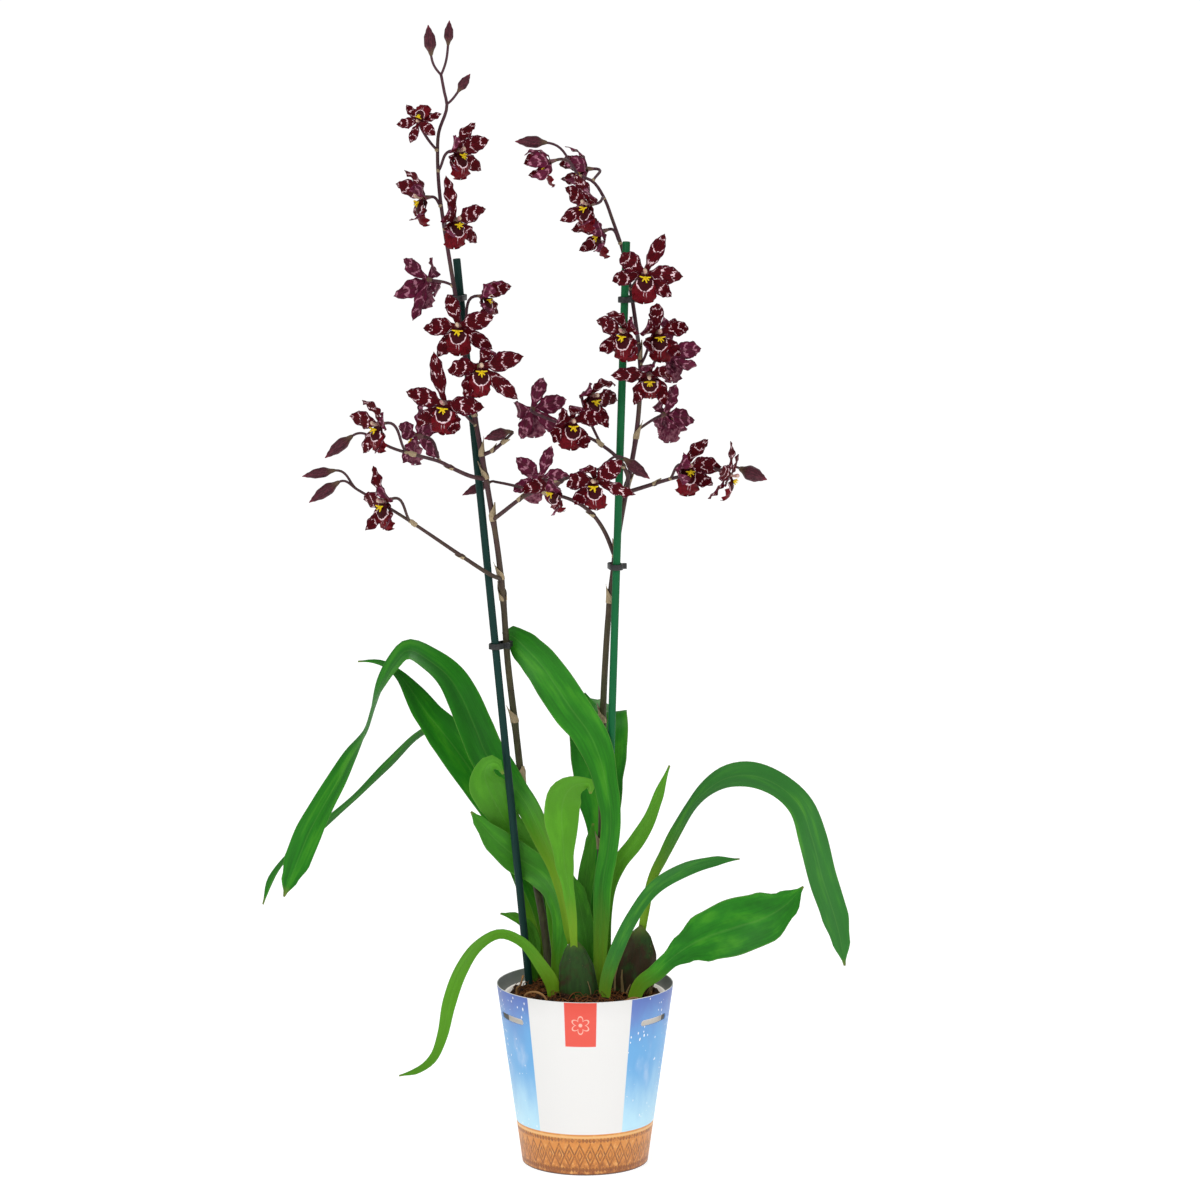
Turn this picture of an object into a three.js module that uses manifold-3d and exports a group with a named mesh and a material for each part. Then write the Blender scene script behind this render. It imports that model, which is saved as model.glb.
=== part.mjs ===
// Potted orchid of the Odontoglossum alliance: two staked flower spikes, strap leaves and
// pseudobulbs, in a plastic pot that stands in a printed card sleeve.
// Millimetres, +Z up. The origin is the middle of the sleeve's flat underside, and -Y is the front.
import * as THREE from 'three';
import { mergeVertices } from 'three/addons/utils/BufferGeometryUtils.js';
import Module from 'manifold-3d';

const wasm = await Module();
wasm.setup();

// Driving dimensions

const GAP = 0.3; // left between pieces that touch
const HOLE_CLEARANCE = 0.4; // round a stem, a leaf foot or a bulb where it stands in a hole

const SLEEVE = { height: 134, baseRadius: 46.3, rimRadius: 65, wall: 0.8, floor: 1.2, corner: 0.8,
  segments: 40 };
const SLEEVE_SLOT = { height: 4.6, width: 32, depth: 12, centreZ: 114, angles: [-151, -34] };
const POT = { height: 124.5, baseRadius: 42, rimRadius: 60, wall: 1.0, floor: 1.4, lip: 1.6, lipHeight: 5,
  segments: 24 };
const POT_DRAIN = { count: 6, radius: 4, ringRadius: 27 };
const MEDIUM = { centreZ: 127, edgeZ: 121.5, roughness: 1.4 };
const STAKE_RADIUS = 2.8;
const CLIP = { innerRadius: 3.9, wall: 1.1, height: 4.2, tabLength: 4, tabWidth: 2.4, arcSteps: 2 };
const STEM = { footRadius: 3.3, tipRadius: 1.1 };
const BRANCH = { footRadius: 1.7, tipRadius: 1.0 };
const STALK_RADIUS = 1.1;
const BUD_RADIUS = 4.4;
const BRACT = { length: 13, radius: 1.5, flare: 1.3 };
const LEAF = { thickness: 0.8, fold: 0.22, wave: 0.08, step: 30 };
const TEPAL = { thickness: 0.65, sepalWidth: 10, petalWidth: 12.5, meeting: 3.2, spread: 0.9,
  wave: 0.7 };
const LIP = { thickness: 0.7, length: 21, width: 18, wave: 1.2 };
const OVARY = { length: 6, radius: 2.6, tailRadius: 1.4 };
const COLUMN = { length: 7.5, radius: 1.9 };
const ROOT_RADIUS = 1.5;

const SIMPLIFY_TOLERANCE = 0.04; // joins the slivers that unions leave behind
const POT_FLOOR_Z = SLEEVE.floor + GAP;

const finish = (color, roughness, metalness = 0) => ({ color, roughness, metalness });
const FINISHES = {
  card: finish(0x4f7fd0, 0.45),
  pot: finish(0x9a8f86, 0.4),
  bark: finish(0x3a2a1e, 0.95),
  bulb: finish(0x3c4a24, 0.55),
  stakeLeft: finish(0x1f4a3a, 0.4),
  stakeRight: finish(0x2f8a4a, 0.4),
  clip: finish(0x141414, 0.5),
  stem: finish(0x5a4038, 0.6),
  leaf: finish(0x4f8a2c, 0.45),
  bloom: finish(0x6a1730, 0.5),
};

// Small maths helpers

const vec = (x, y, z) => new THREE.Vector3(x, y, z);
const vecs = (rows) => rows.map(([x, y, z]) => vec(x, y, z));
const radians = THREE.MathUtils.degToRad;
const mix = THREE.MathUtils.lerp;
const CAMERA_SIDE = vec(0, -1, 0);

// The same numbers on every run, so that the part never changes by itself.
function seededRandom(seed) {
  let state = seed;
  return () => {
    state = (state * 1664525 + 1013904223) % 4294967296;
    return state / 4294967296;
  };
}

// Reads a value off a list of [position, value] steps, straight between the steps.
function stepValue(steps, position) {
  for (let i = 1; i < steps.length; i += 1) {
    if (position <= steps[i][0]) {
      const [from, to] = [steps[i - 1], steps[i]];
      return mix(from[1], to[1], (position - from[0]) / (to[0] - from[0]));
    }
  }
  return steps[steps.length - 1][1];
}

// Solids

function solidFromArrays(points, triangles) {
  const make = (list) => new wasm.Manifold(new wasm.Mesh({
    numProp: 3,
    vertProperties: Float32Array.from(points.flatMap((p) => [p.x, p.y, p.z])),
    triVerts: Uint32Array.from(list.flat()),
  }));
  const solid = make(triangles);
  return solid.volume() > 0 ? solid : make(triangles.map(([a, b, c]) => [a, c, b]));
}

function solidFromGeometry(geometry) {
  geometry.deleteAttribute('normal');
  geometry.deleteAttribute('uv');
  const merged = mergeVertices(geometry, 1e-4);
  const position = merged.getAttribute('position');
  const points = [];
  for (let i = 0; i < position.count; i += 1) {
    points.push(vec(position.getX(i), position.getY(i), position.getZ(i)));
  }
  const index = Array.from(merged.index.array);
  const triangles = [];
  for (let i = 0; i < index.length; i += 3) {
    const [a, b, c] = index.slice(i, i + 3);
    if (a !== b && b !== c && a !== c) triangles.push([a, b, c]);
  }
  return solidFromArrays(points, triangles);
}

// Flat end of a loft: the ring is closed in a zigzag, which also suits a folded strip.
function capTriangles(count, first) {
  const triangles = [];
  let low = 0;
  let high = count - 1;
  while (high - low > 1) {
    triangles.push([first + low, first + low + 1, first + high]);
    low += 1;
    if (high - low > 1) triangles.push([first + low, first + high - 1, first + high]);
    high -= 1;
  }
  return triangles;
}

// A closed solid through a row of rings with the same number of points. The two halves of a ring are
// split along matching diagonals, so that the faces of a thin twisted strip don't cross.
function loft(rings) {
  const count = rings[0].length;
  const last = (rings.length - 1) * count;
  const triangles = capTriangles(count, 0).map(([a, b, c]) => [a, c, b]);
  for (let ring = 0; ring < rings.length - 1; ring += 1) {
    for (let side = 0; side < count; side += 1) {
      const a = ring * count + side;
      const b = ring * count + ((side + 1) % count);
      if (side < count / 2) triangles.push([a, b, b + count], [a, b + count, a + count]);
      else triangles.push([a, b, a + count], [b, b + count, a + count]);
    }
  }
  return solidFromArrays(rings.flat(), triangles.concat(capTriangles(count, last)));
}

// A round bar along a smooth curve; radiusAt gives its radius from 0 at the start to 1 at the end.
// With one step fewer than the curve has points, every ring sits on one of the points.
function tube(curve, radiusAt, sides, steps) {
  const rings = [];
  const normal = curve.getTangent(0).cross(vec(0.36, 0.48, 0.8)).normalize();
  for (let i = 0; i <= steps; i += 1) {
    const tangent = curve.getTangent(i / steps);
    normal.addScaledVector(tangent, -normal.dot(tangent)).normalize();
    const binormal = tangent.clone().cross(normal);
    const centre = curve.getPoint(i / steps);
    const radius = radiusAt(i / steps);
    const ring = [];
    for (let side = 0; side < sides; side += 1) {
      const angle = (2 * Math.PI * side) / sides;
      ring.push(centre.clone()
        .addScaledVector(normal, radius * Math.cos(angle))
        .addScaledVector(binormal, radius * Math.sin(angle)));
    }
    rings.push(ring);
  }
  return loft(rings);
}

const smoothCurve = (rows) => new THREE.CatmullRomCurve3(vecs(rows), false, 'centripetal');

function lathe(profile, segments) {
  const geometry = new THREE.LatheGeometry(profile.map(([r, z]) => new THREE.Vector2(r, z)), segments);
  return solidFromGeometry(geometry.rotateX(Math.PI / 2));
}

function cylinder(radius, from, to, sides) {
  const axis = to.clone().sub(from);
  const geometry = new THREE.CylinderGeometry(radius, radius, axis.length(), sides);
  const turn = new THREE.Quaternion().setFromUnitVectors(vec(0, 1, 0), axis.clone().normalize());
  const middle = from.clone().add(to).multiplyScalar(0.5);
  const matrix = new THREE.Matrix4().compose(middle, turn, vec(1, 1, 1));
  return solidFromGeometry(geometry.applyMatrix4(matrix));
}

const united = (solids) => solids.reduce((sum, solid) => sum.add(solid));
const cutFrom = (body, holes) => holes.reduce((left, hole) => left.subtract(hole), body);

// Sleeve and inner pot

const sleeveRadius = (z) => mix(SLEEVE.baseRadius, SLEEVE.rimRadius, z / SLEEVE.height);

function sleeve() {
  const { height, wall, floor, corner } = SLEEVE;
  const body = lathe([
    [0, 0],
    [sleeveRadius(0) - corner, 0],
    [sleeveRadius(corner), corner],
    [sleeveRadius(height), height],
    [sleeveRadius(height) - wall, height],
    [sleeveRadius(floor) - wall, floor],
    [0, floor],
  ], SLEEVE.segments);
  const slots = SLEEVE_SLOT.angles.map((angle) => {
    const reach = sleeveRadius(SLEEVE_SLOT.centreZ);
    const geometry = new THREE.BoxGeometry(SLEEVE_SLOT.depth, SLEEVE_SLOT.width, SLEEVE_SLOT.height);
    geometry.translate(reach, 0, SLEEVE_SLOT.centreZ);
    return solidFromGeometry(geometry.rotateZ(radians(angle)));
  });
  return cutFrom(body, slots);
}

function potRadius(z) {
  return mix(POT.baseRadius, POT.rimRadius - POT.lip, (z - POT_FLOOR_Z) / POT.height);
}

function innerPot() {
  const top = POT_FLOOR_Z + POT.height;
  const lipZ = top - POT.lipHeight;
  const inner = POT_FLOOR_Z + POT.floor;
  const body = lathe([
    [0, POT_FLOOR_Z],
    [potRadius(POT_FLOOR_Z), POT_FLOOR_Z],
    [potRadius(lipZ), lipZ],
    [potRadius(lipZ) + POT.lip, lipZ],
    [POT.rimRadius, top],
    [potRadius(top) - POT.wall, top],
    [potRadius(inner) - POT.wall, inner],
    [0, inner],
  ], POT.segments);
  const drains = [];
  for (let i = 0; i < POT_DRAIN.count; i += 1) {
    const angle = (2 * Math.PI * i) / POT_DRAIN.count;
    const [x, y] = [POT_DRAIN.ringRadius * Math.cos(angle), POT_DRAIN.ringRadius * Math.sin(angle)];
    drains.push(cylinder(POT_DRAIN.radius, vec(x, y, POT_FLOOR_Z - 2), vec(x, y, inner + 2), 10));
  }
  return cutFrom(body, drains);
}

// Growing medium: a lumpy top inside the pot, with the roots that lie on it

const ROOTS = [
  [[-45, -12, 114], [-38, -27, 131], [-28, -33, 133], [-22, -24, 119]],
  [[-12, -38, 114], [-2, -46, 130], [12, -44, 129], [18, -33, 116]],
  [[44, -20, 115], [49, -6, 130], [44, 10, 129], [36, 16, 117]],
  [[-48, 8, 115], [-52, 20, 127], [-44, 32, 126], [-36, 40, 116]],
];

function growingMedium(holes) {
  const random = seededRandom(11);
  const bottom = POT_FLOOR_Z + POT.floor + GAP;
  const innerRadius = (z) => potRadius(z) - POT.wall - GAP;
  const steps = [0.3, 0.58, 0.84];
  const profile = [[0, bottom], [innerRadius(bottom), bottom], [innerRadius(MEDIUM.edgeZ), MEDIUM.edgeZ]];
  for (const step of steps.slice().reverse()) {
    const height = mix(MEDIUM.centreZ, MEDIUM.edgeZ, step * step);
    profile.push([innerRadius(MEDIUM.edgeZ) * step, height]);
  }
  profile.push([0, MEDIUM.centreZ]);
  const points = profile.map(([r, z]) => new THREE.Vector2(r, z));
  const geometry = new THREE.LatheGeometry(points, POT.segments).rotateX(Math.PI / 2);
  geometry.deleteAttribute('normal');
  geometry.deleteAttribute('uv');
  const merged = mergeVertices(geometry, 1e-4);
  const position = merged.getAttribute('position');
  for (let i = 0; i < position.count; i += 1) {
    const lump = (random() * 2 - 1) * MEDIUM.roughness;
    if (position.getZ(i) > MEDIUM.edgeZ + 0.1) position.setZ(i, position.getZ(i) + lump);
  }
  const body = solidFromGeometry(merged);
  const roots = ROOTS.map((rows) => tube(smoothCurve(rows), () => ROOT_RADIUS, 4, 5));
  return cutFrom(united([body, ...roots]), holes).simplify(SIMPLIFY_TOLERANCE);
}

// Pseudobulbs: flattened eggs, half in the medium

const BULBS = [
  { name: 'pseudobulb_1', foot: [-3, -20, 108], apex: [-8, -12, 170], width: 29, depth: 17, turn: 8 },
  { name: 'pseudobulb_2', foot: [32, -7, 112], apex: [41, -2, 178], width: 33, depth: 18, turn: -12 },
  { name: 'pseudobulb_3', foot: [-12, 31, 106], apex: [-13, 32, 150], width: 21, depth: 13, turn: 4 },
];

function bulb({ foot, apex, width, depth, turn }, grow = 0) {
  const outline = [[0, 0.5], [0.16, 0.82], [0.42, 1], [0.68, 0.86], [0.88, 0.5], [1, 0.2]];
  const sides = 10;
  const rings = outline.map(([height, share]) => {
    const centre = vec(...foot).lerp(vec(...apex), height);
    const ring = [];
    for (let side = 0; side < sides; side += 1) {
      const angle = (2 * Math.PI * side) / sides;
      const across = (share * width / 2 + grow) * Math.cos(angle);
      const through = (share * depth / 2 + grow) * Math.sin(angle);
      ring.push(vec(across, through, 0).applyAxisAngle(vec(0, 0, 1), radians(turn)).add(centre));
    }
    return ring;
  });
  if (grow > 0) {
    rings[0].forEach((point) => { point.z -= grow; });
    rings[rings.length - 1].forEach((point) => { point.z += grow; });
  }
  return loft(rings);
}

// Leaves

// Each leaf has its midrib as hand-chosen points, its half widths and how far the blade's face is
// turned from the front towards its upper side, both along the length from 0 to 1.
const LEAVES = [
  {
    name: 'leaf_01',
    side: 1,
    route: [[-9, -10.3, 163], [-12, -8, 179], [-16, -3, 199], [-22, 5, 220], [-31, 18, 237],
      [-41, 33, 256], [-48, 40, 266], [-57, 47, 276], [-72, 49, 293], [-82, 51, 315], [-91, 51, 336],
      [-101, 53, 352], [-115, 54, 364], [-131, 54, 372], [-141, 54, 362], [-149, 52, 348], [-156, 50, 330],
      [-162, 48, 312], [-173, 46, 294], [-183, 44, 275], [-193, 42, 258], [-204, 40, 238], [-213, 37, 216],
      [-219, 35, 202], [-223, 33, 191]],
    halfWidth: [[0, 3], [0.03, 4.5], [0.26, 8.6], [0.34, 14], [0.4, 15], [0.52, 14], [0.67, 11],
      [0.89, 12], [0.94, 11], [0.97, 7], [1, 0.8]],
    facing: [[0, 0], [0.08, 20], [0.18, 18], [0.26, 10], [0.3, 10], [0.4, 34], [0.63, 76], [0.67, 88],
      [0.71, 84], [0.75, 68], [0.89, 32], [0.97, 25], [1, 25]],
  },
  {
    name: 'leaf_02',
    side: 1,
    route: [[-20, 41, 110], [-22, 42, 140], [-27, 45, 167], [-35, 50, 191], [-49, 57, 220], [-64, 62, 248],
      [-78, 66, 269], [-92, 69, 289], [-105, 71, 306], [-119, 72, 323], [-129, 73, 338], [-138, 73, 350],
      [-148, 73, 358], [-158, 73, 361], [-169, 73, 361]],
    halfWidth: [[0, 4], [0.1, 6], [0.19, 9], [0.38, 11], [0.56, 14], [0.64, 14.5], [0.71, 14],
      [0.78, 11.5], [0.93, 3.5], [1, 0.8]],
    facing: [[0, 5], [0.71, 22], [0.84, 38], [0.93, 60], [1, 60]],
  },
  {
    name: 'leaf_03',
    side: 1,
    route: [[-33, 38, 110], [-34, 42, 151], [-47, 66, 195], [-70, 82, 247], [-92, 90, 280],
      [-105, 93, 297], [-115, 94, 305], [-126, 94, 300], [-147, 93, 279], [-169, 91, 257], [-190, 89, 239],
      [-210, 87, 221], [-226, 85, 207], [-236, 83, 193], [-242, 80, 175]],
    halfWidth: [[0, 4], [0.47, 9], [0.79, 8.5], [0.95, 5], [1, 0.8]],
    facing: [[0, 5], [0.37, 30], [0.47, 50], [0.55, 78], [0.86, 78], [0.91, 74], [0.95, 60], [1, 50]],
  },
  {
    name: 'leaf_04',
    side: 1,
    route: [[-19, 12, 110], [-19, 14, 144], [-21, 20, 173], [-24, 28, 197], [-33, 35, 215], [-43, 40, 228],
      [-56, 38, 242], [-63, 33, 255], [-68, 30, 265], [-72, 28, 275], [-74, 24, 284], [-71, 18, 293],
      [-65, 15, 295], [-60, 14, 287]],
    halfWidth: [[0, 4], [0.4, 7], [0.5, 8.5], [0.57, 10.5], [0.66, 11], [0.73, 10.5], [0.78, 12.5],
      [0.83, 13.5], [0.93, 7], [1, 0.8]],
    facing: [[0, 0], [0.57, 8], [0.83, 8], [0.96, 0], [1, 0]],
  },
  {
    name: 'leaf_05',
    side: 1,
    route: [[-21, 3, 110], [-20, 4, 146], [-18, 10, 175], [-22, 20, 195], [-33, 29, 210], [-50, 32, 221],
      [-65, 28, 234], [-77, 25, 248], [-84, 24, 257]],
    halfWidth: [[0, 4], [0.37, 6], [0.49, 8], [0.61, 11], [0.72, 12], [0.83, 10], [0.94, 5], [1, 0.8]],
    facing: [[0, 0], [0.37, 5], [0.49, 10], [0.72, 0], [0.94, 10], [1, 15]],
  },
  {
    name: 'leaf_06',
    side: 1,
    route: [[-8, -14.6, 164], [-9, -17, 183], [-12, -18, 207], [-15, -18, 228], [-16, -17, 245],
      [-17, -15, 262], [-15, -15, 275], [-10, -18, 283], [-3, -23, 287], [4, -28, 287], [4, -31, 281]],
    halfWidth: [[0, 2.6], [0.3, 4.2], [0.44, 7], [0.67, 13], [0.76, 13], [0.95, 4], [1, 0.8]],
    facing: [[0, 0], [1, 0]],
  },
  {
    name: 'leaf_07',
    side: -1,
    route: [[11, 4, 110], [11, 4, 149], [12, 5, 180], [13, 6, 206], [17, 8, 231], [19, 9, 255],
      [16, 11, 277], [11, 14, 299], [3, 17, 317], [-9, 21, 333], [-21, 27, 350], [-32, 33, 365],
      [-43, 40, 376], [-53, 47, 384], [-61, 53, 386]],
    halfWidth: [[0, 4.2], [0.39, 7], [0.46, 7.2], [0.53, 8.5], [0.67, 13], [0.74, 14.5], [0.8, 14.5],
      [0.87, 13.5], [0.92, 12], [0.97, 8], [1, 0.8]],
    facing: [[0, 0], [1, 0]],
  },
  {
    name: 'leaf_08',
    side: 1,
    route: [[8, 46, 110], [4, 47, 148], [3, 51, 176], [6, 55, 201], [11, 58, 223], [12, 61, 247],
      [10, 65, 269], [10, 69, 291], [10, 74, 311], [10, 83, 321], [11, 96, 323], [12, 110, 326]],
    halfWidth: [[0, 4], [0.27, 5.5], [0.37, 6.5], [0.47, 9], [0.66, 18], [0.75, 21], [0.83, 22],
      [0.89, 21], [0.94, 13], [1, 0.8]],
    facing: [[0, 0], [1, 0]],
  },
  {
    name: 'leaf_09',
    side: -1,
    route: [[14, 14, 110], [15, 15, 151], [15, 18, 181], [18, 20, 203], [26, 21, 220], [37, 21, 234],
      [47, 20, 251], [53, 19, 267], [57, 18, 279], [62, 16, 293]],
    halfWidth: [[0, 3.5], [0.67, 6], [0.86, 4], [1, 0.8]],
    facing: [[0, 0], [0.37, 5], [0.58, 15], [1, 10]],
  },
  {
    name: 'leaf_10',
    side: -1,
    route: [[42, -1, 171], [45, 2, 186], [50, 7, 209], [59, 12, 226], [68, 15, 244], [79, 17, 262],
      [90, 18, 274], [105, 18, 283], [123, 16, 285], [142, 12, 278], [157, 8, 264], [166, 3, 241],
      [174, -3, 211], [182, -8, 187], [187, -12, 168], [190, -16, 150]],
    halfWidth: [[0, 3], [0.25, 9], [0.48, 12.5], [0.8, 11.5], [0.88, 10.5], [0.94, 7], [1, 0.8]],
    facing: [[0, 20], [0.13, 60], [0.19, 70], [0.32, 70], [0.55, 48], [0.7, 28], [0.94, 15], [1, 15]],
  },
  {
    name: 'leaf_11',
    side: -1,
    route: [[14, -24, 110], [15, -24, 137], [23, -26, 163], [35, -29, 189], [51, -31, 211], [73, -34, 225],
      [94, -38, 232], [112, -42, 235]],
    halfWidth: [[0, 4], [0.31, 5.2], [0.77, 6], [0.89, 5], [1, 0.8]],
    facing: [[0, 0], [0.15, 5], [0.47, 32], [1, 55]],
  },
  {
    name: 'leaf_12',
    side: -1,
    route: [[32, -23, 112], [40, -23, 137], [51, -24, 146], [61, -26, 156], [73, -29, 166], [88, -33, 175],
      [110, -39, 184], [131, -43, 192], [147, -46, 203], [158, -48, 216]],
    halfWidth: [[0, 4.5], [0.32, 6.5], [0.41, 11], [0.51, 18], [0.65, 21], [0.79, 19], [0.9, 11], [1, 0.8]],
    facing: [[0, 0], [0.79, 27], [1, 30]],
  },
  {
    name: 'leaf_13',
    side: 1,
    route: [[-23, -17, 110], [-23, -18, 133], [-33, -24, 153], [-46, -28, 170], [-62, -32, 177],
      [-78, -38, 169], [-90, -44, 152], [-98, -48, 130], [-103, -49, 106], [-110, -50, 89],
      [-121, -50, 80], [-135, -50, 76]],
    halfWidth: [[0, 5], [0.1, 5.5], [0.39, 4.2], [0.57, 5.6], [0.87, 4.4], [0.93, 3.6], [1, 0.8]],
    facing: [[0, 10], [0.1, 15], [0.31, 50], [0.68, 22], [0.79, 30], [0.93, 60], [1, 60]],
  },
  {
    name: 'leaf_14',
    side: 1,
    route: [[-41, 31, 110], [-39, 32, 141], [-38, 34, 155], [-42, 36, 167], [-51, 38, 174], [-63, 39, 177]],
    halfWidth: [[0, 4], [0.55, 5], [0.85, 4], [1, 0.8]],
    facing: [[0, 0], [0.55, 10], [0.85, 35], [1, 40]],
  },
  {
    name: 'leaf_15',
    side: 1,
    route: [[-4, 18, 110], [-4, 18, 149], [-2, 21, 185], [1, 25, 210], [4, 28, 233], [6, 30, 247]],
    halfWidth: [[0, 4], [0.73, 6], [0.9, 4], [1, 0.8]],
    facing: [[0, 0], [1, 0]],
  },
  {
    name: 'leaf_16',
    side: 1,
    route: [[1, 11, 110], [2, 11, 154], [-2, 13, 179], [-6, 15, 198], [-10, 17, 212]],
    halfWidth: [[0, 4.5], [0.67, 7.5], [0.86, 6.5], [1, 0.8]],
    facing: [[0, 0], [1, 0]],
  },
];

// The blade is a shallow V along its midrib, with edges that wave a little.
function leaf({ route, halfWidth, facing, side }, grow = 0) {
  const curve = smoothCurve(route);
  const steps = Math.max(5, Math.round(curve.getLength() / LEAF.step));
  const rings = [];
  for (let i = 0; i <= steps; i += 1) {
    const t = i / steps;
    const centre = curve.getPointAt(t);
    const tangent = curve.getTangentAt(t);
    const front = CAMERA_SIDE.clone().addScaledVector(tangent, -tangent.dot(CAMERA_SIDE)).normalize();
    const upper = tangent.clone().cross(front).multiplyScalar(side);
    const turn = radians(stepValue(facing, t));
    const face = front.clone().multiplyScalar(Math.cos(turn)).addScaledVector(upper, Math.sin(turn));
    const across = tangent.clone().cross(face).normalize();
    const half = stepValue(halfWidth, t) + grow;
    const thick = LEAF.thickness / 2 + grow;
    const fold = half * LEAF.fold;
    const wave = half * LEAF.wave * Math.sin(i * 1.9);
    const spot = (sideways, out) => (
      centre.clone().addScaledVector(across, sideways).addScaledVector(face, out)
    );
    rings.push([
      spot(-half, fold + wave + thick),
      spot(0, thick),
      spot(half, fold - wave + thick),
      spot(half, fold - wave - thick),
      spot(0, -thick),
      spot(-half, fold + wave - thick),
    ]);
  }
  return loft(rings);
}

// Stakes and clips

const STAKES = [
  { name: 'stake_left', foot: [-32, 20, 30], top: [-93, 31, 664], finish: 'stakeLeft' },
  { name: 'stake_right', foot: [11, 32, 30], top: [30, 8, 678], finish: 'stakeRight' },
];

const stakeSolid = ({ foot, top }, grow = 0) => cylinder(STAKE_RADIUS + grow, vec(...foot), vec(...top), 12);

function stakeAxisAt({ foot, top }, z) {
  const share = (z - foot[2]) / (top[2] - foot[2]);
  return vec(...foot).lerp(vec(...top), share);
}

// A clip is an oval band round the stake and the stem beside it, with a pinch tab on its side.
function clip(stakeRow, stemRow, z) {
  const stake = stakeAxisAt(stakeRow, z);
  const stem = curvePointAtZ(smoothCurve(stemRow), z);
  const along = stem.clone().sub(stake).setZ(0);
  const outer = ovalShape(along.length() / 2, CLIP.innerRadius + CLIP.wall);
  outer.holes.push(ovalShape(along.length() / 2, CLIP.innerRadius));
  const options = { depth: CLIP.height, bevelEnabled: false, curveSegments: CLIP.arcSteps };
  const band = new THREE.ExtrudeGeometry(outer, options);
  const tab = new THREE.BoxGeometry(CLIP.tabWidth, CLIP.tabLength, CLIP.height);
  tab.translate(0, -(CLIP.innerRadius + CLIP.wall / 2 + CLIP.tabLength / 2), CLIP.height / 2);
  const turn = Math.atan2(along.y, along.x);
  const middle = stake.clone().add(stem).multiplyScalar(0.5);
  const place = (geometry) => geometry.rotateZ(turn).translate(middle.x, middle.y, z - CLIP.height / 2);
  return solidFromGeometry(place(band)).add(solidFromGeometry(place(tab)));
}

function ovalShape(halfLength, radius) {
  const shape = new THREE.Shape();
  shape.absarc(halfLength, 0, radius, -Math.PI / 2, Math.PI / 2);
  shape.absarc(-halfLength, 0, radius, Math.PI / 2, (3 * Math.PI) / 2);
  shape.closePath();
  return shape;
}

function curvePointAtZ(curve, z) {
  let [low, high] = [0, 1];
  for (let i = 0; i < 24; i += 1) {
    const middle = (low + high) / 2;
    if (curve.getPoint(middle).z < z) low = middle;
    else high = middle;
  }
  return curve.getPoint(low);
}

// Spikes

const SPIKE_LEFT = {
  stem: [[-25, 26, 80], [-26, 27, 122], [-30, 33, 166], [-41, 46, 224], [-47, 51, 273], [-52, 47, 320],
    [-57, 39, 367], [-60, 34, 413], [-64, 27, 453], [-72, 22, 504], [-82, 20, 562], [-88, 20, 602],
    [-93, 20, 634], [-98, 21, 665], [-102, 22, 690], [-105, 20, 715], [-106, 18, 740], [-105, 17, 756],
    [-99, 15, 774], [-101, 14, 786], [-103, 14, 797]],
  branches: [
    [[-72, 22, 504], [-83, 15, 507], [-94, 13, 512], [-105, 11, 518], [-118, 9, 522], [-140, 5, 529],
      [-154, 4, 537]],
    [[-61, 31, 429], [-70, 17, 435], [-92, 14, 450], [-115, 13, 466], [-138, 8, 482], [-165, 8, 498]],
    [[-76, 22, 521], [-66, 18, 526], [-52, 15, 539]],
    [[-68, 25, 473], [-60, 18, 480], [-45, 12, 492], [-29, 8, 500], [-15, 4, 506], [0, 1, 512],
      [10, -1, 514]],
  ],
  buds: [
    { from: [-103, 14, 797], base: [-110, 12, 811], tip: [-112, 10, 833] },
    { from: [-103, 14, 797], base: [-98, 16, 818], tip: [-97, 17, 836], radius: 3.4 },
    { from: [-99, 15, 776], base: [-91, 13, 785], tip: [-82, 12, 798], radius: 3.4 },
    { from: [-154, 4, 537], base: [-168, 3, 538], tip: [-188, 0, 522] },
    { from: [-165, 8, 498], base: [-178, 7, 504], tip: [-200, 4, 489] },
    { from: [-165, 8, 498], base: [-181, 9, 512], tip: [-205, 5, 508], radius: 3.8 },
    { from: [-52, 15, 539], base: [-54, 14, 540], tip: [-73, 8, 535] },
    { from: [10, -1, 514], base: [28, -7, 523], tip: [47, -9, 508] },
  ],
  bracts: [273, 320, 413, 453, 508, 550],
};

const SPIKE_RIGHT = {
  stem: [[3, 36, 80], [4, 36, 122], [8, 39, 159], [12, 38, 226], [13, 34, 322], [15, 30, 370], [18, 27, 412],
    [24, 24, 460], [30, 22, 495], [37, 19, 534], [40, 17, 568], [40, 16, 592], [37, 17, 617], [33, 19, 643],
    [27, 19, 672], [20, 16, 693], [14, 12, 709], [6, 9, 721], [-3, 7, 725]],
  branches: [
    [[22, 25, 446], [14, 22, 466], [4, 20, 480], [-10, 21, 489], [-40, 25, 496], [-58, 34, 499],
      [-66, 38, 500]],
    [[31, 22, 497], [31, 13, 508], [24, 7, 521], [12, 6, 531], [1, 9, 537], [-10, 14, 541]],
    [[30, 22, 494], [42, 13, 499], [66, 7, 507], [94, 6, 512], [104, 6, 514]],
  ],
  buds: [
    { from: [-66, 38, 500], base: [-69, 38, 500], tip: [-90, 38, 490], radius: 3.6 },
    { from: [-3, 7, 725], base: [-27, 8, 749], tip: [-50, 4, 750] },
    { from: [104, 6, 514], base: [112, 6, 514], tip: [132, 2, 506], radius: 5.5 },
  ],
  bracts: [226, 322, 412, 440, 534, 592],
};

function bud({ base, tip, radius = BUD_RADIUS }) {
  const curve = new THREE.LineCurve3(vec(...base), vec(...tip));
  const outline = [[0, 0.28], [0.33, 1], [0.67, 0.9], [1, 0.12]];
  return tube(curve, (t) => radius * stepValue(outline, t), 5, 3);
}

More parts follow.
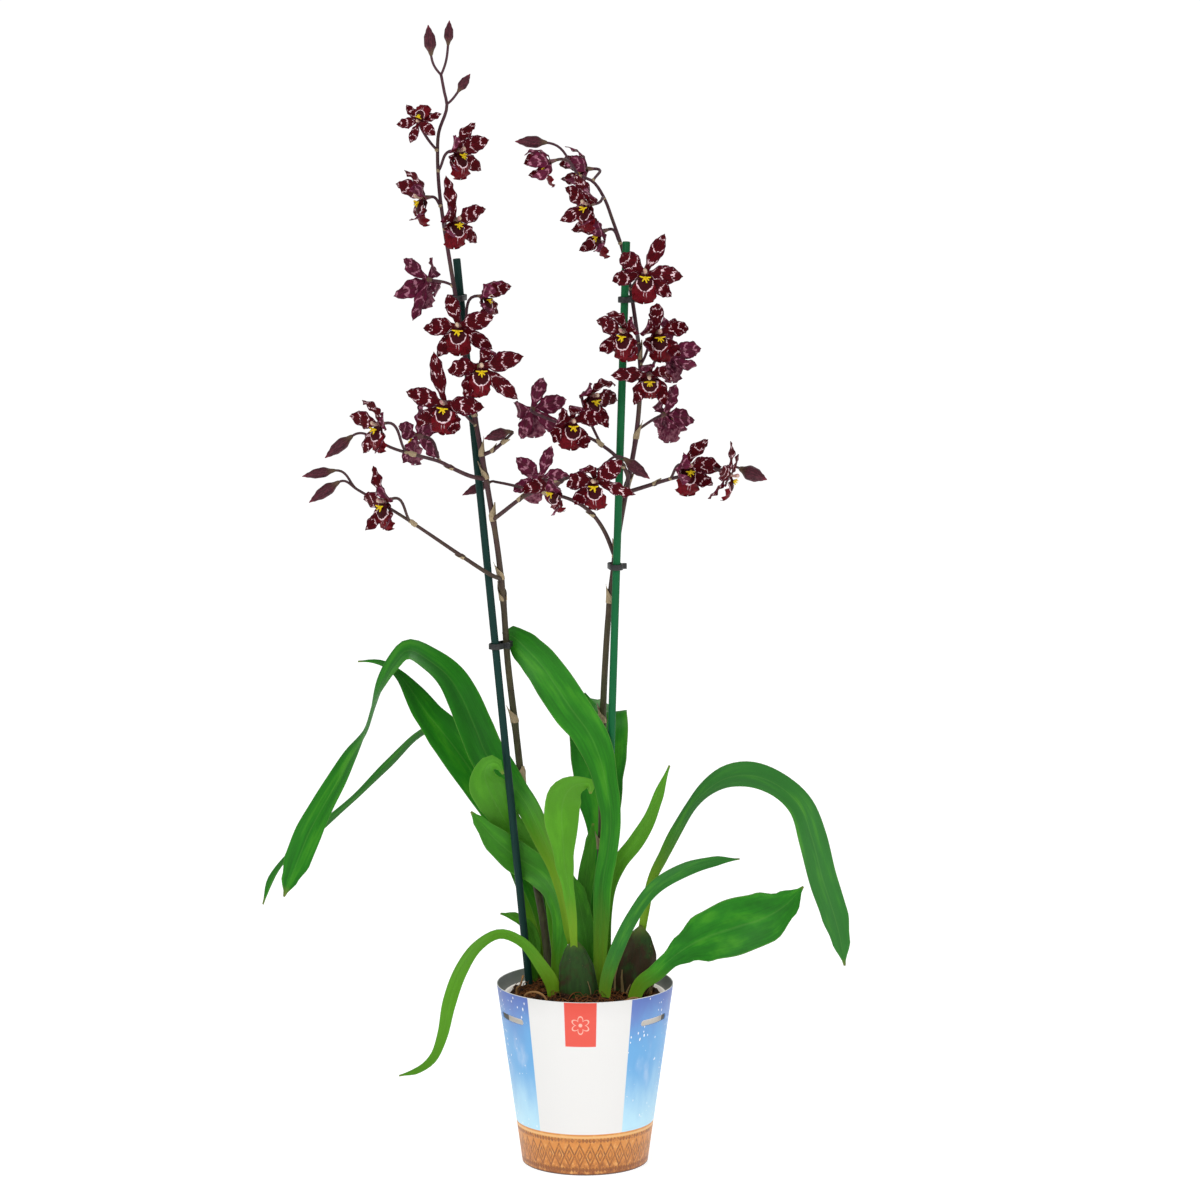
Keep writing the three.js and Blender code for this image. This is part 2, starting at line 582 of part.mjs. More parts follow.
// A stalk leaves the stem outwards and upwards, and arrives along the way its flower or bud aims.
function stalk(from, to, aim) {
  const reach = from.distanceTo(to) * 0.5;
  const out = to.clone().sub(from).setZ(reach).normalize();
  return new THREE.CubicBezierCurve3(
    from,
    from.clone().addScaledVector(out, reach * 0.7),
    to.clone().addScaledVector(aim, -reach),
    to,
  );
}

// The nearest point on the middle line of the stem or of a branch, so that a stalk grows from it.
function nearestOn(routes, target) {
  const spots = routes.flatMap((rows) => rows.slice(1).map((row, i) => (
    new THREE.Line3(vec(...rows[i]), vec(...row)).closestPointToPoint(target, true, vec(0, 0, 0))
  )));
  return spots.reduce((best, spot) => (spot.distanceTo(target) < best.distanceTo(target) ? spot : best));
}

function routeTube(rows, footRadius, tipRadius, sides) {
  return tube(smoothCurve(rows), (t) => mix(footRadius, tipRadius, t), sides, rows.length - 1);
}

function spike(spec, blooms) {
  const stemCurve = smoothCurve(spec.stem);
  const joint = (target) => nearestOn([spec.stem, ...spec.branches], vec(...target));
  const stalkSolid = (from, to, aim) => tube(stalk(joint(from), to, aim), () => STALK_RADIUS, 3, 4);

  const solids = [routeTube(spec.stem, STEM.footRadius, STEM.tipRadius, 6)];
  for (const rows of spec.branches) solids.push(routeTube(rows, BRANCH.footRadius, BRANCH.tipRadius, 4));
  for (const row of spec.buds) {
    const [base, tip] = [vec(...row.base), vec(...row.tip)];
    const aim = tip.clone().sub(base).normalize();
    solids.push(stalkSolid(row.from, base.clone().addScaledVector(aim, 1.5), aim), bud(row));
  }
  for (const row of blooms) {
    const { facing } = bloomAxes(row);
    const back = OVARY.length * row.size + GAP;
    solids.push(stalkSolid(row.from, vec(...row.at).addScaledVector(facing, -back), facing));
  }
  for (const z of spec.bracts) {
    const [foot, top] = [curvePointAtZ(stemCurve, z), curvePointAtZ(stemCurve, z + BRACT.length)];
    const radius = BRACT.radius + stemRadiusNear(stemCurve, z);
    solids.push(tube(new THREE.LineCurve3(foot, top), (t) => radius * mix(1, 1 / BRACT.flare, t), 5, 1));
  }
  return united(solids).simplify(SIMPLIFY_TOLERANCE);
}

function stemRadiusNear(curve, z) {
  const [bottom, top] = [curve.getPoint(0).z, curve.getPoint(1).z];
  return mix(STEM.footRadius, STEM.tipRadius, (z - bottom) / (top - bottom));
}

// Blooms

// at is the middle of the flower, from is where its stalk leaves the stem or branch. azimuth turns
// the face from the front (0) to the right (90), tilt raises it, roll turns it about its own axis.
// The last list has an angle and a length for the right petal, the dorsal sepal, the left petal, the
// left sepal and the right sepal, as seen from the flower's front.
const PLAIN_TEPALS = [[22, 26], [90, 28], [158, 26], [218, 28], [322, 28]];
const bloomRow = (name, at, from, azimuth, tilt, roll, size, tepals = PLAIN_TEPALS) => (
  { name, at, from, azimuth, tilt, roll, size, tepals }
);
const BLOOMS_LEFT = [
  bloomRow('bloom_a1', [-119, 6, 764], [-106, 18, 742], -10, 30, 165, 0.62),
  bloomRow('bloom_a2', [-91, 4, 743], [-106, 19, 728], 45, 0, 0, 0.95,
    [[20, 25], [75, 24], [150, 20], [222, 22], [328, 29]]),
  bloomRow('bloom_a3', [-116, 14, 709], [-104, 21, 703], -62, -5, 0, 0.95,
    [[30, 20], [95, 24], [150, 24], [212, 30], [300, 20]]),
  bloomRow('bloom_a4', [-93, -4, 694], [-102, 22, 684], 32, 0, 0, 0.95,
    [[16, 28], [98, 34], [155, 20], [221, 18], [322, 30]]),
  bloomRow('bloom_a5', [-114, 38, 648], [-95, 20, 644], -145, 0, 0, 1,
    [[339, 30], [34, 30], [140, 20], [215, 22], [296, 32]]),
  bloomRow('bloom_a6', [-73, 14, 638], [-89, 20, 606], 55, 0, 0, 0.85,
    [[25, 22], [90, 16], [150, 16], [225, 18], [328, 32]]),
  bloomRow('bloom_a7', [-91, -2, 618], [-87, 20, 594], -5, -5, 0, 1,
    [[16, 27], [104, 26], [180, 25], [236, 28], [322, 31]]),
  bloomRow('bloom_a8', [-75, -14, 590], [-84, 20, 572], 10, -5, 0, 1.05,
    [[10, 32], [70, 18], [180, 25], [235, 24], [318, 36]]),
  bloomRow('bloom_a9', [-101, -3, 562], [-80, 21, 548], -15, -5, 0, 1.05,
    [[356, 28], [104, 36], [164, 28], [218, 28], [300, 23]]),
  bloomRow('bloom_b1', [-148, -14, 548], [-130, 7, 525], -45, -5, 0, 0.95,
    [[20, 22], [92, 23], [172, 31], [226, 34], [296, 23]]),
  bloomRow('bloom_b2', [-122, 34, 534], [-105, 11, 518], -128, 0, 0, 1),
  bloomRow('bloom_c1', [-144, -10, 492], [-128, 10, 475], -45, -10, 0, 1,
    [[40, 20], [122, 28], [184, 26], [240, 24], [305, 22]]),
  bloomRow('bloom_e1', [-33, 42, 502], [-24, 7, 502], -160, 0, 20, 0.9),
  bloomRow('bloom_e2', [8, -22, 508], [0, 1, 512], -18, -12, 0, 1,
    [[38, 26], [106, 18], [170, 20], [227, 20], [340, 30]]),
  bloomRow('bloom_e3', [-22, -14, 503], [-15, 4, 506], -50, -25, 0, 0.95,
    [[30, 20], [105, 20], [165, 20], [222, 27], [300, 20]]),
];
const BLOOMS_RIGHT = [
  bloomRow('bloom_d1', [-38, 34, 554], [-10, 14, 541], 172, 0, 0, 1,
    [[350, 18], [105, 24], [165, 25], [219, 30], [294, 26]]),
  bloomRow('bloom_d2', [-9, -18, 551], [0, 10, 537], 12, -12, 0, 1,
    [[20, 22], [85, 18], [152, 19], [212, 22], [300, 20]]),
  bloomRow('bloom_d3', [5, 5, 567], [12, 6, 531], 35, -10, 0, 1,
    [[346, 28], [62, 18], [150, 20], [225, 19], [294, 25]]),
  bloomRow('bloom_f1', [-25, -6, 736], [-3, 7, 725], -80, -15, 0, 0.85,
    [[22, 15], [90, 16], [158, 15], [218, 16], [322, 16]]),
  bloomRow('bloom_f2', [1, 28, 729], [6, 9, 721], -78, 0, 0, 0.9,
    [[22, 17], [100, 21], [158, 15], [218, 18], [322, 17]]),
  bloomRow('bloom_f3', [3, -10, 706], [14, 12, 710], -45, 0, 0, 0.95,
    [[40, 20], [98, 24], [155, 27], [211, 26], [300, 20]]),
  bloomRow('bloom_f4', [12, 8, 685], [25, 18, 677], -62, -15, 0, 0.9,
    [[22, 20], [90, 19], [158, 20], [218, 22], [322, 20]]),
  bloomRow('bloom_f5', [43, -14, 657], [33, 19, 643], 3, 0, 0, 1.02,
    [[354, 28], [62, 31], [141, 24], [191, 25], [319, 25]]),
  bloomRow('bloom_f6', [29, -26, 616], [38, 17, 604], -28, -5, 0, 1,
    [[30, 20], [105, 20], [165, 26], [224, 20], [310, 22]]),
  bloomRow('bloom_f7', [53, 0, 613], [41, 16, 590], 12, -5, 0, 1,
    [[20, 22], [100, 25], [152, 18], [226, 18], [310, 22]]),
  bloomRow('bloom_f8', [47, -8, 584], [40, 17, 572], -5, -35, 0, 1,
    [[22, 22], [95, 20], [180, 28], [235, 22], [305, 22]]),
  bloomRow('bloom_f9', [58, 34, 550], [38, 18, 542], 150, 5, 0, 1,
    [[42, 17], [120, 27], [184, 28], [240, 20], [310, 22]]),
  bloomRow('bloom_f10', [62, 30, 594], [40, 17, 570], 140, -5, 0, 0.95,
    [[28, 20], [86, 30], [158, 20], [214, 18], [285, 20]]),
  bloomRow('bloom_g1', [73, -10, 517], [62, 8, 506], 30, -5, 0, 1,
    [[4, 23], [64, 25], [150, 15], [210, 14], [318, 20]]),
  bloomRow('bloom_g2', [104, -18, 512], [94, 6, 512], 72, -20, 10, 0.9),
];

function bloomAxes({ azimuth, tilt, roll }) {
  const [turn, lift] = [radians(azimuth), radians(tilt)];
  const facing = vec(
    Math.sin(turn) * Math.cos(lift),
    -Math.cos(turn) * Math.cos(lift),
    Math.sin(lift),
  );
  const upright = vec(0, 0, 1).addScaledVector(facing, -facing.z).normalize();
  const dorsal = upright.applyAxisAngle(facing, radians(roll));
  const right = dorsal.clone().cross(facing);
  return { facing, dorsal, right };
}

// All tepals as one waved plate in the flower's own axes: x right, y towards the dorsal sepal, z out
// of the face. Petals stand in front of the sepals, and between two tepals the outline comes back to
// the middle. A tepal that is close to the next one is narrower on that side, so that they don't cross.
function tepalPlate(tepals) {
  const edge = [[0.4, -0.92], [0.74, -0.82], [1, 0], [0.74, 0.82], [0.4, 0.92]];
  const count = tepals.length;
  const angleBetween = (from, to) => (to.angle - from.angle + 360) % 360;
  const outline = [];
  const heights = [];
  tepals.forEach((tepal, index) => {
    const [direction, sideways] = [radians(tepal.angle), radians(tepal.angle + 90)];
    const next = tepals[(index + 1) % count];
    const gapBefore = angleBetween(tepals[(index + count - 1) % count], tepal);
    const gapAfter = angleBetween(tepal, next);
    edge.forEach(([reach, side], step) => {
      const along = reach * tepal.length;
      const room = TEPAL.spread * along * Math.tan(radians(side < 0 ? gapBefore : gapAfter) / 2);
      const across = Math.sign(side) * Math.min(Math.abs(side) * (tepal.width / 2), room);
      outline.push(new THREE.Vector2(
        along * Math.cos(direction) + across * Math.cos(sideways),
        along * Math.sin(direction) + across * Math.sin(sideways),
      ));
      const wave = step % 2 === 0 ? TEPAL.wave : -TEPAL.wave;
      heights.push(tepal.lift + tepal.curl * along * reach + tepal.twist * across * reach + wave);
    });
    const between = radians(tepal.angle + gapAfter / 2);
    outline.push(new THREE.Vector2(Math.cos(between), Math.sin(between)).multiplyScalar(TEPAL.meeting));
    heights.push(0);
  });
  const faces = THREE.ShapeUtils.triangulateShape(outline, []);
  const layer = (offset) => outline.map((spot, i) => vec(spot.x, spot.y, heights[i] + offset));
  const corners = outline.length;
  const triangles = faces.concat(faces.map(([a, b, c]) => [a + corners, c + corners, b + corners]));
  for (let i = 0; i < corners; i += 1) {
    const next = (i + 1) % corners;
    triangles.push([next, i, i + corners], [next, i + corners, next + corners]);
  }
  const [top, bottom] = [layer(TEPAL.thickness / 2), layer(-TEPAL.thickness / 2)];
  return solidFromArrays(top.concat(bottom), triangles);
}

// The lip leaves the column's foot forwards, then hangs as a wide skirt with a waved edge.
function lipBlade() {
  const stations = [[0, 2.6, 0.2], [8, 5, 0.75], [15, 5, 1], [LIP.length, 2, 0.66]];
  const rings = stations.map(([down, out, share], step) => {
    const half = (LIP.width / 2) * share;
    const wave = step % 2 === 0 ? LIP.wave : -LIP.wave;
    const spot = (side, top) => {
      const rise = side * wave * share + (top * LIP.thickness) / 2;
      return vec(side * half, -down, out + rise);
    };
    return [spot(-1, 1), spot(1, 1), spot(1, -1), spot(-1, -1)];
  });
  return loft(rings);
}

function bloom(row, index) {
  const random = seededRandom(100 + index);
  const vary = (amount) => (random() * 2 - 1) * amount;
  const tepals = row.tepals.map(([angle, length], index) => {
    const petal = index % 2 === 0 && index < 3;
    return {
      angle,
      length: length * (1 + vary(0.04)),
      width: petal ? TEPAL.petalWidth : TEPAL.sepalWidth,
      lift: petal ? 0.8 : -1,
      curl: (petal ? 0.05 : -0.08) + vary(0.1),
      twist: vary(0.35),
    };
  });
  const ovary = tube(
    new THREE.LineCurve3(vec(0, 0, -OVARY.length), vec(0, 0, 0)),
    (t) => mix(OVARY.tailRadius, OVARY.radius, t),
    5,
    1,
  );
  const column = tube(
    new THREE.LineCurve3(vec(0, -0.5, 0), vec(0, 2.4, COLUMN.length)),
    (t) => mix(COLUMN.radius, COLUMN.radius * 0.8, t),
    4,
    1,
  );
  const { facing, dorsal, right } = bloomAxes(row);
  const place = new THREE.Matrix4()
    .makeBasis(right, dorsal, facing)
    .scale(vec(row.size, row.size, row.size))
    .setPosition(...row.at);
  const flower = united([ovary, tepalPlate(tepals), lipBlade(), column]);
  return flower.simplify(SIMPLIFY_TOLERANCE).transform(place.elements);
}

// Assembly

function meshFrom(name, solid, finishName) {
  const { vertProperties, triVerts } = solid.getMesh();
  const geometry = new THREE.BufferGeometry();
  geometry.setAttribute('position', new THREE.BufferAttribute(vertProperties, 3));
  geometry.setIndex(new THREE.BufferAttribute(triVerts, 1));
  geometry.computeVertexNormals();
  const mesh = new THREE.Mesh(geometry, new THREE.MeshStandardMaterial(FINISHES[finishName]));
  mesh.name = name;
  return mesh;
}

function buildPlant() {
  const plant = new THREE.Group();
  const add = (name, solid, finishName) => plant.add(meshFrom(name, solid, finishName));

  add('sleeve', sleeve(), 'card');
  add('inner_pot', innerPot(), 'pot');

  const leafFeet = LEAVES.map((row) => leaf(row, HOLE_CLEARANCE));
  for (const row of BULBS) add(row.name, cutFrom(bulb(row), leafFeet), 'bulb');
  for (const row of LEAVES) add(row.name, leaf(row), 'leaf');
  for (const row of STAKES) add(row.name, stakeSolid(row), row.finish);

  add('spike_left', spike(SPIKE_LEFT, BLOOMS_LEFT), 'stem');
  add('spike_right', spike(SPIKE_RIGHT, BLOOMS_RIGHT), 'stem');
  [...BLOOMS_LEFT, ...BLOOMS_RIGHT].forEach((row, index) => add(row.name, bloom(row, index), 'bloom'));

  add('clip_left_lower', clip(STAKES[0], SPIKE_LEFT.stem, 380), 'clip');
  add('clip_left_upper', clip(STAKES[0], SPIKE_LEFT.stem, 636), 'clip');
  add('clip_right_lower', clip(STAKES[1], SPIKE_RIGHT.stem, 440), 'clip');
  add('clip_right_upper', clip(STAKES[1], SPIKE_RIGHT.stem, 636), 'clip');

  const stemHole = (rows) => {
    const radius = STEM.footRadius + HOLE_CLEARANCE;
    const [x, y, z] = rows[0];
    return routeTube([[x, y, z - HOLE_CLEARANCE], ...rows.slice(1, 4)], radius, radius, 6);
  };
  const holes = [
    ...leafFeet,
    ...BULBS.map((row) => bulb(row, HOLE_CLEARANCE)),
    ...STAKES.map((row) => stakeSolid(row, HOLE_CLEARANCE)),
    stemHole(SPIKE_LEFT.stem),
    stemHole(SPIKE_RIGHT.stem),
  ];
  add('growing_medium', growingMedium(holes), 'bark');
  return plant;
}

export default buildPlant();
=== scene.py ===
"""Looks of the potted orchid: printed sleeve, plastic pot, potting mix, bulbs, strap leaves, staked
flower spikes and barred blooms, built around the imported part. Metres, +Z up, -Y is the front."""

import math
import random

import bmesh
import bpy
from mathutils import Matrix, Vector, noise


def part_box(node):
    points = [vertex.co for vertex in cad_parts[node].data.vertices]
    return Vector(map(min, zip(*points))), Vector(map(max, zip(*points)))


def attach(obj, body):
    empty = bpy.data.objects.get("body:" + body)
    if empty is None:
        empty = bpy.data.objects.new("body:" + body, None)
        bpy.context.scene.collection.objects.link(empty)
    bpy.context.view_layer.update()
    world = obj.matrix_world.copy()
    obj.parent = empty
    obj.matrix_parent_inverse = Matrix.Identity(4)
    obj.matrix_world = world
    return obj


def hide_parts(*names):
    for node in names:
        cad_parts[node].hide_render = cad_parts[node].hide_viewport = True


bl_info = {
    "name": "Potted orchid",
    "version": (1, 0, 0),
    "blender": (4, 5, 0),
    "location": "View3D > Sidebar > Orchid",
    "description": "Builds a potted orchid's sleeve, mix, leaves, spikes and blooms around its part",
    "category": "Object",
}

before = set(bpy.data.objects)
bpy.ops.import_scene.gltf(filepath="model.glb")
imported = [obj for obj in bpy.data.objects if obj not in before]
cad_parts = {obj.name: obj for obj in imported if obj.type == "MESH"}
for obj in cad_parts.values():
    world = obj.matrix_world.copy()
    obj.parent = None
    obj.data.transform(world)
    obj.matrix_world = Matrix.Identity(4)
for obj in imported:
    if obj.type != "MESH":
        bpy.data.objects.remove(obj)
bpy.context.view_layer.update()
MM = 0.001
ANY_TURN = 6.3  # radians, about a full turn, for what is drawn
ROOT = "root"
SLEEVE_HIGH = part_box("sleeve")[1]
POT_LOW, POT_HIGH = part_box("inner_pot")


# Colours and small maths


def tone(text):
    """A colour written as on a paint card, RRGGBB, turned into Blender's linear values."""
    parts = [int(text[i : i + 2], 16) / 255 for i in (0, 2, 4)]
    return tuple(c / 12.92 if c <= 0.04045 else ((c + 0.055) / 1.055) ** 2.4 for c in parts)


def mix(a, b, share):
    return a + (b - a) * share


def shaded(colour, share):
    """A colour made darker by a share."""
    return [c * share for c in colour]


def ease(share):
    share = min(max(share, 0.0), 1.0)
    return share * share * (3 - 2 * share)


def line_value(steps, position, between=lambda share: share):
    """Reads a value off a list of (position, value) steps, straight between the steps."""
    for (left, low), (right, high) in zip(steps, steps[1:]):
        if position <= right:
            return mix(low, high, between((position - left) / (right - left)))
    return steps[-1][1]


def step_value(steps, position):
    """The same, rounded between the steps."""
    return line_value(steps, position, ease)


def wobble(x, seed, y=0.0):
    """Smooth noise from -1 to 1 that is the same on every run."""
    return noise.noise(Vector((x, seed * 7.31 + 0.37, y)))


def blade(u):
    """Round a flat blade's section: how far across it, from -1 to 1, and how far out of it."""
    return -math.cos(2 * math.pi * u), math.sin(2 * math.pi * u)


def smooth_path(rows, steps_each=12):
    """A smooth line through points in millimetres, with the same number of steps between each two."""
    spots = [Vector(row) for row in rows]
    spots = [spots[0] * 2 - spots[1], *spots, spots[-1] * 2 - spots[-2]]
    line = []
    for a, b, c, d in zip(spots, spots[1:], spots[2:], spots[3:]):
        before, middle, after = ((q - p).length ** 0.5 for p, q in ((a, b), (b, c), (c, d)))
        leave = ((b - a) / before - (c - a) / (before + middle) + (c - b) / middle) * middle
        arrive = ((c - b) / middle - (d - b) / (middle + after) + (d - c) / after) * middle
        for i in range(steps_each):
            t = i / steps_each
            line.append(
                b * (2 * t**3 - 3 * t**2 + 1) + leave * (t**3 - 2 * t**2 + t)
                + c * (3 * t**2 - 2 * t**3) + arrive * (t**3 - t**2)
            )
    return line + [spots[-2]]


class Way:
    """A line that is read by the share of its length."""

    def __init__(self, spots):
        self.spots = spots
        self.lengths = [0.0]
        for a, b in zip(spots, spots[1:]):
            self.lengths.append(self.lengths[-1] + (b - a).length)
        self.length = self.lengths[-1]

    def at(self, share):
        want = min(max(share, 0.0), 1.0) * self.length
        low, high = 0, len(self.spots) - 1
        while high - low > 1:
            middle = (low + high) // 2
            low, high = (middle, high) if self.lengths[middle] <= want else (low, middle)
        part = (want - self.lengths[low]) / max(self.lengths[high] - self.lengths[low], 1e-9)
        return self.spots[low].lerp(self.spots[high], part)

    def along(self, share, reach=0.012):
        return (self.at(share + reach) - self.at(share - reach)).normalized()

    def share_at_height(self, z):
        low, high = 0.0, 1.0
        for _ in range(30):
            middle = (low + high) / 2
            low, high = (middle, high) if self.at(middle).z < z else (low, middle)
        return low


# Meshes


class Body:
    """One piece being modelled, in millimetres, with a place value on each point for its paint."""

    def __init__(self, name):
        self.name = name
        self.mesh = bmesh.new()
        self.place = self.mesh.verts.layers.float_vector.new("place")

    def skin(self, sides, rows, spot, paint=0, back_paint=None):
        """A closed skin from a grid that is rolled up: spot(u, v) gives a point and its place value.

        u runs round from 0 to 1 and v along. Its first half is the front and its second the back."""
        made = bmesh.ops.create_grid(self.mesh, x_segments=sides, y_segments=rows, size=0.5)
        verts = made["verts"]
        column = {}
        for vert in verts:
            u, v = vert.co.x + 0.5, vert.co.y + 0.5
            column[vert] = round(u * sides)
            vert.co, vert[self.place] = spot(u, v)
        faces = {face for vert in verts for face in vert.link_faces}
        for face in faces:
            behind = min(column[vert] for vert in face.verts) >= sides / 2
            face.material_index = back_paint if behind and back_paint is not None else paint
            face.smooth = True
        bmesh.ops.remove_doubles(self.mesh, verts=verts, dist=1e-4)

    def turned(self, sides, profile):
        """A closed skin turned round the upright axis from steps of radius and height."""
        rows = len(profile) - 1

        def spot(u, v):
            radius, height = profile[round(v * rows)]
            angle = 2 * math.pi * u
            x, y = radius * math.cos(angle), radius * math.sin(angle)
            return Vector((x, y, height(x, y) if callable(height) else height)), (u, v, 0)

        self.skin(sides, rows, spot)

    def tube(self, spots, radius_at, sides=10, paint=0, rows=None, shape=None):
        """A round bar along points, closed flat; radius_at reads 0 at its first end to 1 at its last."""
        way = Way(spots)
        rows = rows or len(spots) - 1
        side = way.along(0).cross(Vector((0.36, 0.48, 0.8))).normalized()
        frames = []
        for i in range(rows + 1):
            along = way.along(i / rows, 0.5 / rows)
            side = (side - along * side.dot(along)).normalized()
            frames.append((way.at(i / rows), side.copy(), along.cross(side)))

        def spot(u, v):
            ring = round(v * (rows + 2))
            row = min(max(ring - 1, 0), rows)
            centre, normal, binormal = frames[row]
            angle = 2 * math.pi * u
            radius = radius_at(row / rows) * (shape(u, row / rows) if shape else 1)
            if ring in (0, rows + 2):
                radius = 0.0
            point = centre + (normal * math.cos(angle) + binormal * math.sin(angle)) * radius
            return point, (u, row / rows, way.length / 100)

        self.skin(sides, rows + 2, spot, paint)

    def finish(self, paints, slot, replaced=(), smooth_angle=None):
        """The object, with its place in its mesh, riding on the plant's one body."""
        bmesh.ops.recalc_face_normals(self.mesh, faces=self.mesh.faces)
        bmesh.ops.scale(self.mesh, vec=(MM, MM, MM), verts=self.mesh.verts)
        data = bpy.data.meshes.new(self.name)
        self.mesh.to_mesh(data)
        self.mesh.free()
        piece = bpy.data.objects.new(self.name, data)
        bpy.context.scene.collection.objects.link(piece)
        for paint in paints:
            data.materials.append(paint)
        if smooth_angle is not None:
            data.set_sharp_from_angle(angle=math.radians(smooth_angle))
        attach(piece, ROOT)
        if replaced:
            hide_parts(*replaced)
        return piece


# Paints


class Field:
    """A number that changes over a surface. Python's operators on it add Math nodes."""

    def __init__(self, paint, socket):
        self.paint = paint
        self.socket = socket

    def maths(self, operation, *values):
        return self.paint.node("ShaderNodeMath", {"operation": operation}, *values)

    def __add__(self, other):
        return self.maths("ADD", self, other)

    def __sub__(self, other):
        return self.maths("SUBTRACT", self, other)

    def __rsub__(self, other):
        return self.maths("SUBTRACT", other, self)

    def __mul__(self, other):
        return self.maths("MULTIPLY", self, other)

    def __truediv__(self, other):
        return self.maths("DIVIDE", self, other)

    def __pow__(self, other):
        return self.maths("POWER", self, other)

    def __abs__(self):
        return self.maths("ABSOLUTE", self)

    __radd__ = __add__
    __rmul__ = __mul__

    def fraction(self):
        return self.maths("FRACT", self)

    def sine(self):
        return self.maths("SINE", self)

    def most(self, other):
        return self.maths("MAXIMUM", self, other)

    def turn(self, other):
        """The angle whose sine goes with this number and whose cosine goes with the other."""
        return self.maths("ARCTAN2", self, other)

    def rise(self, low, high):
        """0 below low, 1 above high and a soft step between; the other way round if low is above."""
        if low > high:
            return 1 - self.rise(high, low)
        return self.paint.node(
            "ShaderNodeMapRange", {"interpolation_type": "SMOOTHSTEP"}, self, low, high
        )

    def within(self, low, high, blur):
        """1 between low and high and 0 outside them, with a soft edge on each side."""
        return self.rise(low - blur, low + blur) * self.rise(high + blur, high - blur)


class Paint:
    """One procedural material."""

    def __init__(self, name, roughness=0.5, specular=0.5, coat=0.0):
        self.material = bpy.data.materials.new(name)
        self.material.use_nodes = True
        self.tree = self.material.node_tree
        self.shader = self.tree.nodes["Principled BSDF"]
        self.shader.inputs["Roughness"].default_value = roughness
        self.shader.inputs["Specular IOR Level"].default_value = specular
        self.shader.inputs["Coat Weight"].default_value = coat
        self.shader.inputs["Coat Roughness"].default_value = 0.25

    def node(self, kind, settings, *values, output=0, **named):
        made = self.tree.nodes.new(kind)
        for key, value in settings.items():
            setattr(made, key, value)
        for key, value in [*enumerate(values), *named.items()]:
            socket = made.inputs[key]
            if isinstance(value, Field):
                self.tree.links.new(value.socket, socket)
            else:
                socket.default_value = value
        return Field(self, made.outputs[output])

    def place(self):
        """The three numbers of a piece's place value."""
        whole = self.node("ShaderNodeAttribute", {"attribute_name": "place"}, output="Vector")
        return self.parts(whole)

    def parts(self, whole):
        split = self.tree.nodes.new("ShaderNodeSeparateXYZ")
        self.tree.links.new(whole.socket, split.inputs[0])
        return [Field(self, socket) for socket in split.outputs]

    def point(self):
        return self.node("ShaderNodeTexCoord", {}, output="Object")

    def lengthwise(self, share):
        """The piece's own coordinates, drawn out along its height for streaks."""
        return self.node("ShaderNodeMapping", {}, Vector=self.point(), Scale=(1, 1, share))

    def vector(self, x, y, z):
        return self.node("ShaderNodeCombineXYZ", {}, x, y, z)

    def noise(self, where, scale, detail=3.0, rough=0.55):
        return self.node(
            "ShaderNodeTexNoise", {}, Vector=where, Scale=scale, Detail=detail, Roughness=rough
        )

    def cells(self, where, scale):
        """How far each point is from the nearest of many scattered ones."""
        return self.node("ShaderNodeTexVoronoi", {}, output="Distance", Vector=where, Scale=scale)

    def blend(self, share, low, high):
        """A colour between two others."""
        made = self.tree.nodes.new("ShaderNodeMix")
        made.data_type = "RGBA"
        for key, value in ((0, share), (6, low), (7, high)):
            if isinstance(value, Field):
                self.tree.links.new(value.socket, made.inputs[key])
            elif key:
                made.inputs[key].default_value = (*tuple(value)[:3], 1.0)
            else:
                made.inputs[key].default_value = value
        return Field(self, made.outputs[2])

    def feed(self, name, value):
        self.tree.links.new(value.socket, self.shader.inputs[name])

    def done(self, colour, relief=None, roughness=None):
        """The finished material; relief is a height, its depth in metres and its strength."""
        self.feed("Base Color", colour)
        if relief is not None:
            height, depth, strength = relief
            normal = self.node("ShaderNodeBump", {}, Strength=strength, Distance=depth, Height=height)
            self.feed("Normal", normal)
        if roughness is not None:
            self.feed("Roughness", roughness)
        return self.material


# Settings


def length_prop(name, about, default, high=1.0):
    return bpy.props.FloatProperty(
        name=name, description=about, default=default, min=0.0, max=high, unit="LENGTH", precision=4
    )


def share_prop(name, about, default, high=1.0):
    return bpy.props.FloatProperty(
        name=name, description=about, default=default, min=0.0, max=high, subtype="FACTOR"
    )


def colour_prop(name, about, text):
    return bpy.props.FloatVectorProperty(
        name=name, description=about, default=tone(text), size=3, min=0, max=1, subtype="COLOR"
    )


def count_prop(name, about, default):
    return bpy.props.IntProperty(name=name, description=about, default=default, min=0, max=2000)


class OrchidSleeve(bpy.types.PropertyGroup):
    wall: length_prop("Card thickness", "Thickness of the printed card", 0.0008, 0.003)
    slot_height: length_prop("Slot height", "Height of the two hand slots", 0.0046, 0.02)
    sky_high: colour_prop("Upper blue", "Card colour at the rim", "6079C2")
    sky_middle: colour_prop("Middle blue", "Card colour half way down", "66ABE2")
    sky_low: colour_prop("Lower blue", "Card colour above the base band", "BCE6F8")
    panel: colour_prop("Panel", "White front panel", "E9E8E6")
    block: colour_prop("Block", "Red block at the top of the panel", "E8503F")
    band: colour_prop("Base band", "Ochre band at the foot", "D88A3A")
    band_dark: colour_prop("Band shade", "Brown in the band's pattern", "7E4018")
    inside: colour_prop("Inside", "Unprinted grey inner face", "8D9191")


class OrchidPot(bpy.types.PropertyGroup):
    wall: length_prop("Wall", "Thickness of the plastic", 0.001, 0.003)
    lip: length_prop("Lip", "How far the rim stands out", 0.0016, 0.006)
    plastic: colour_prop("Plastic", "Cloudy pot plastic", "D9D3CC")


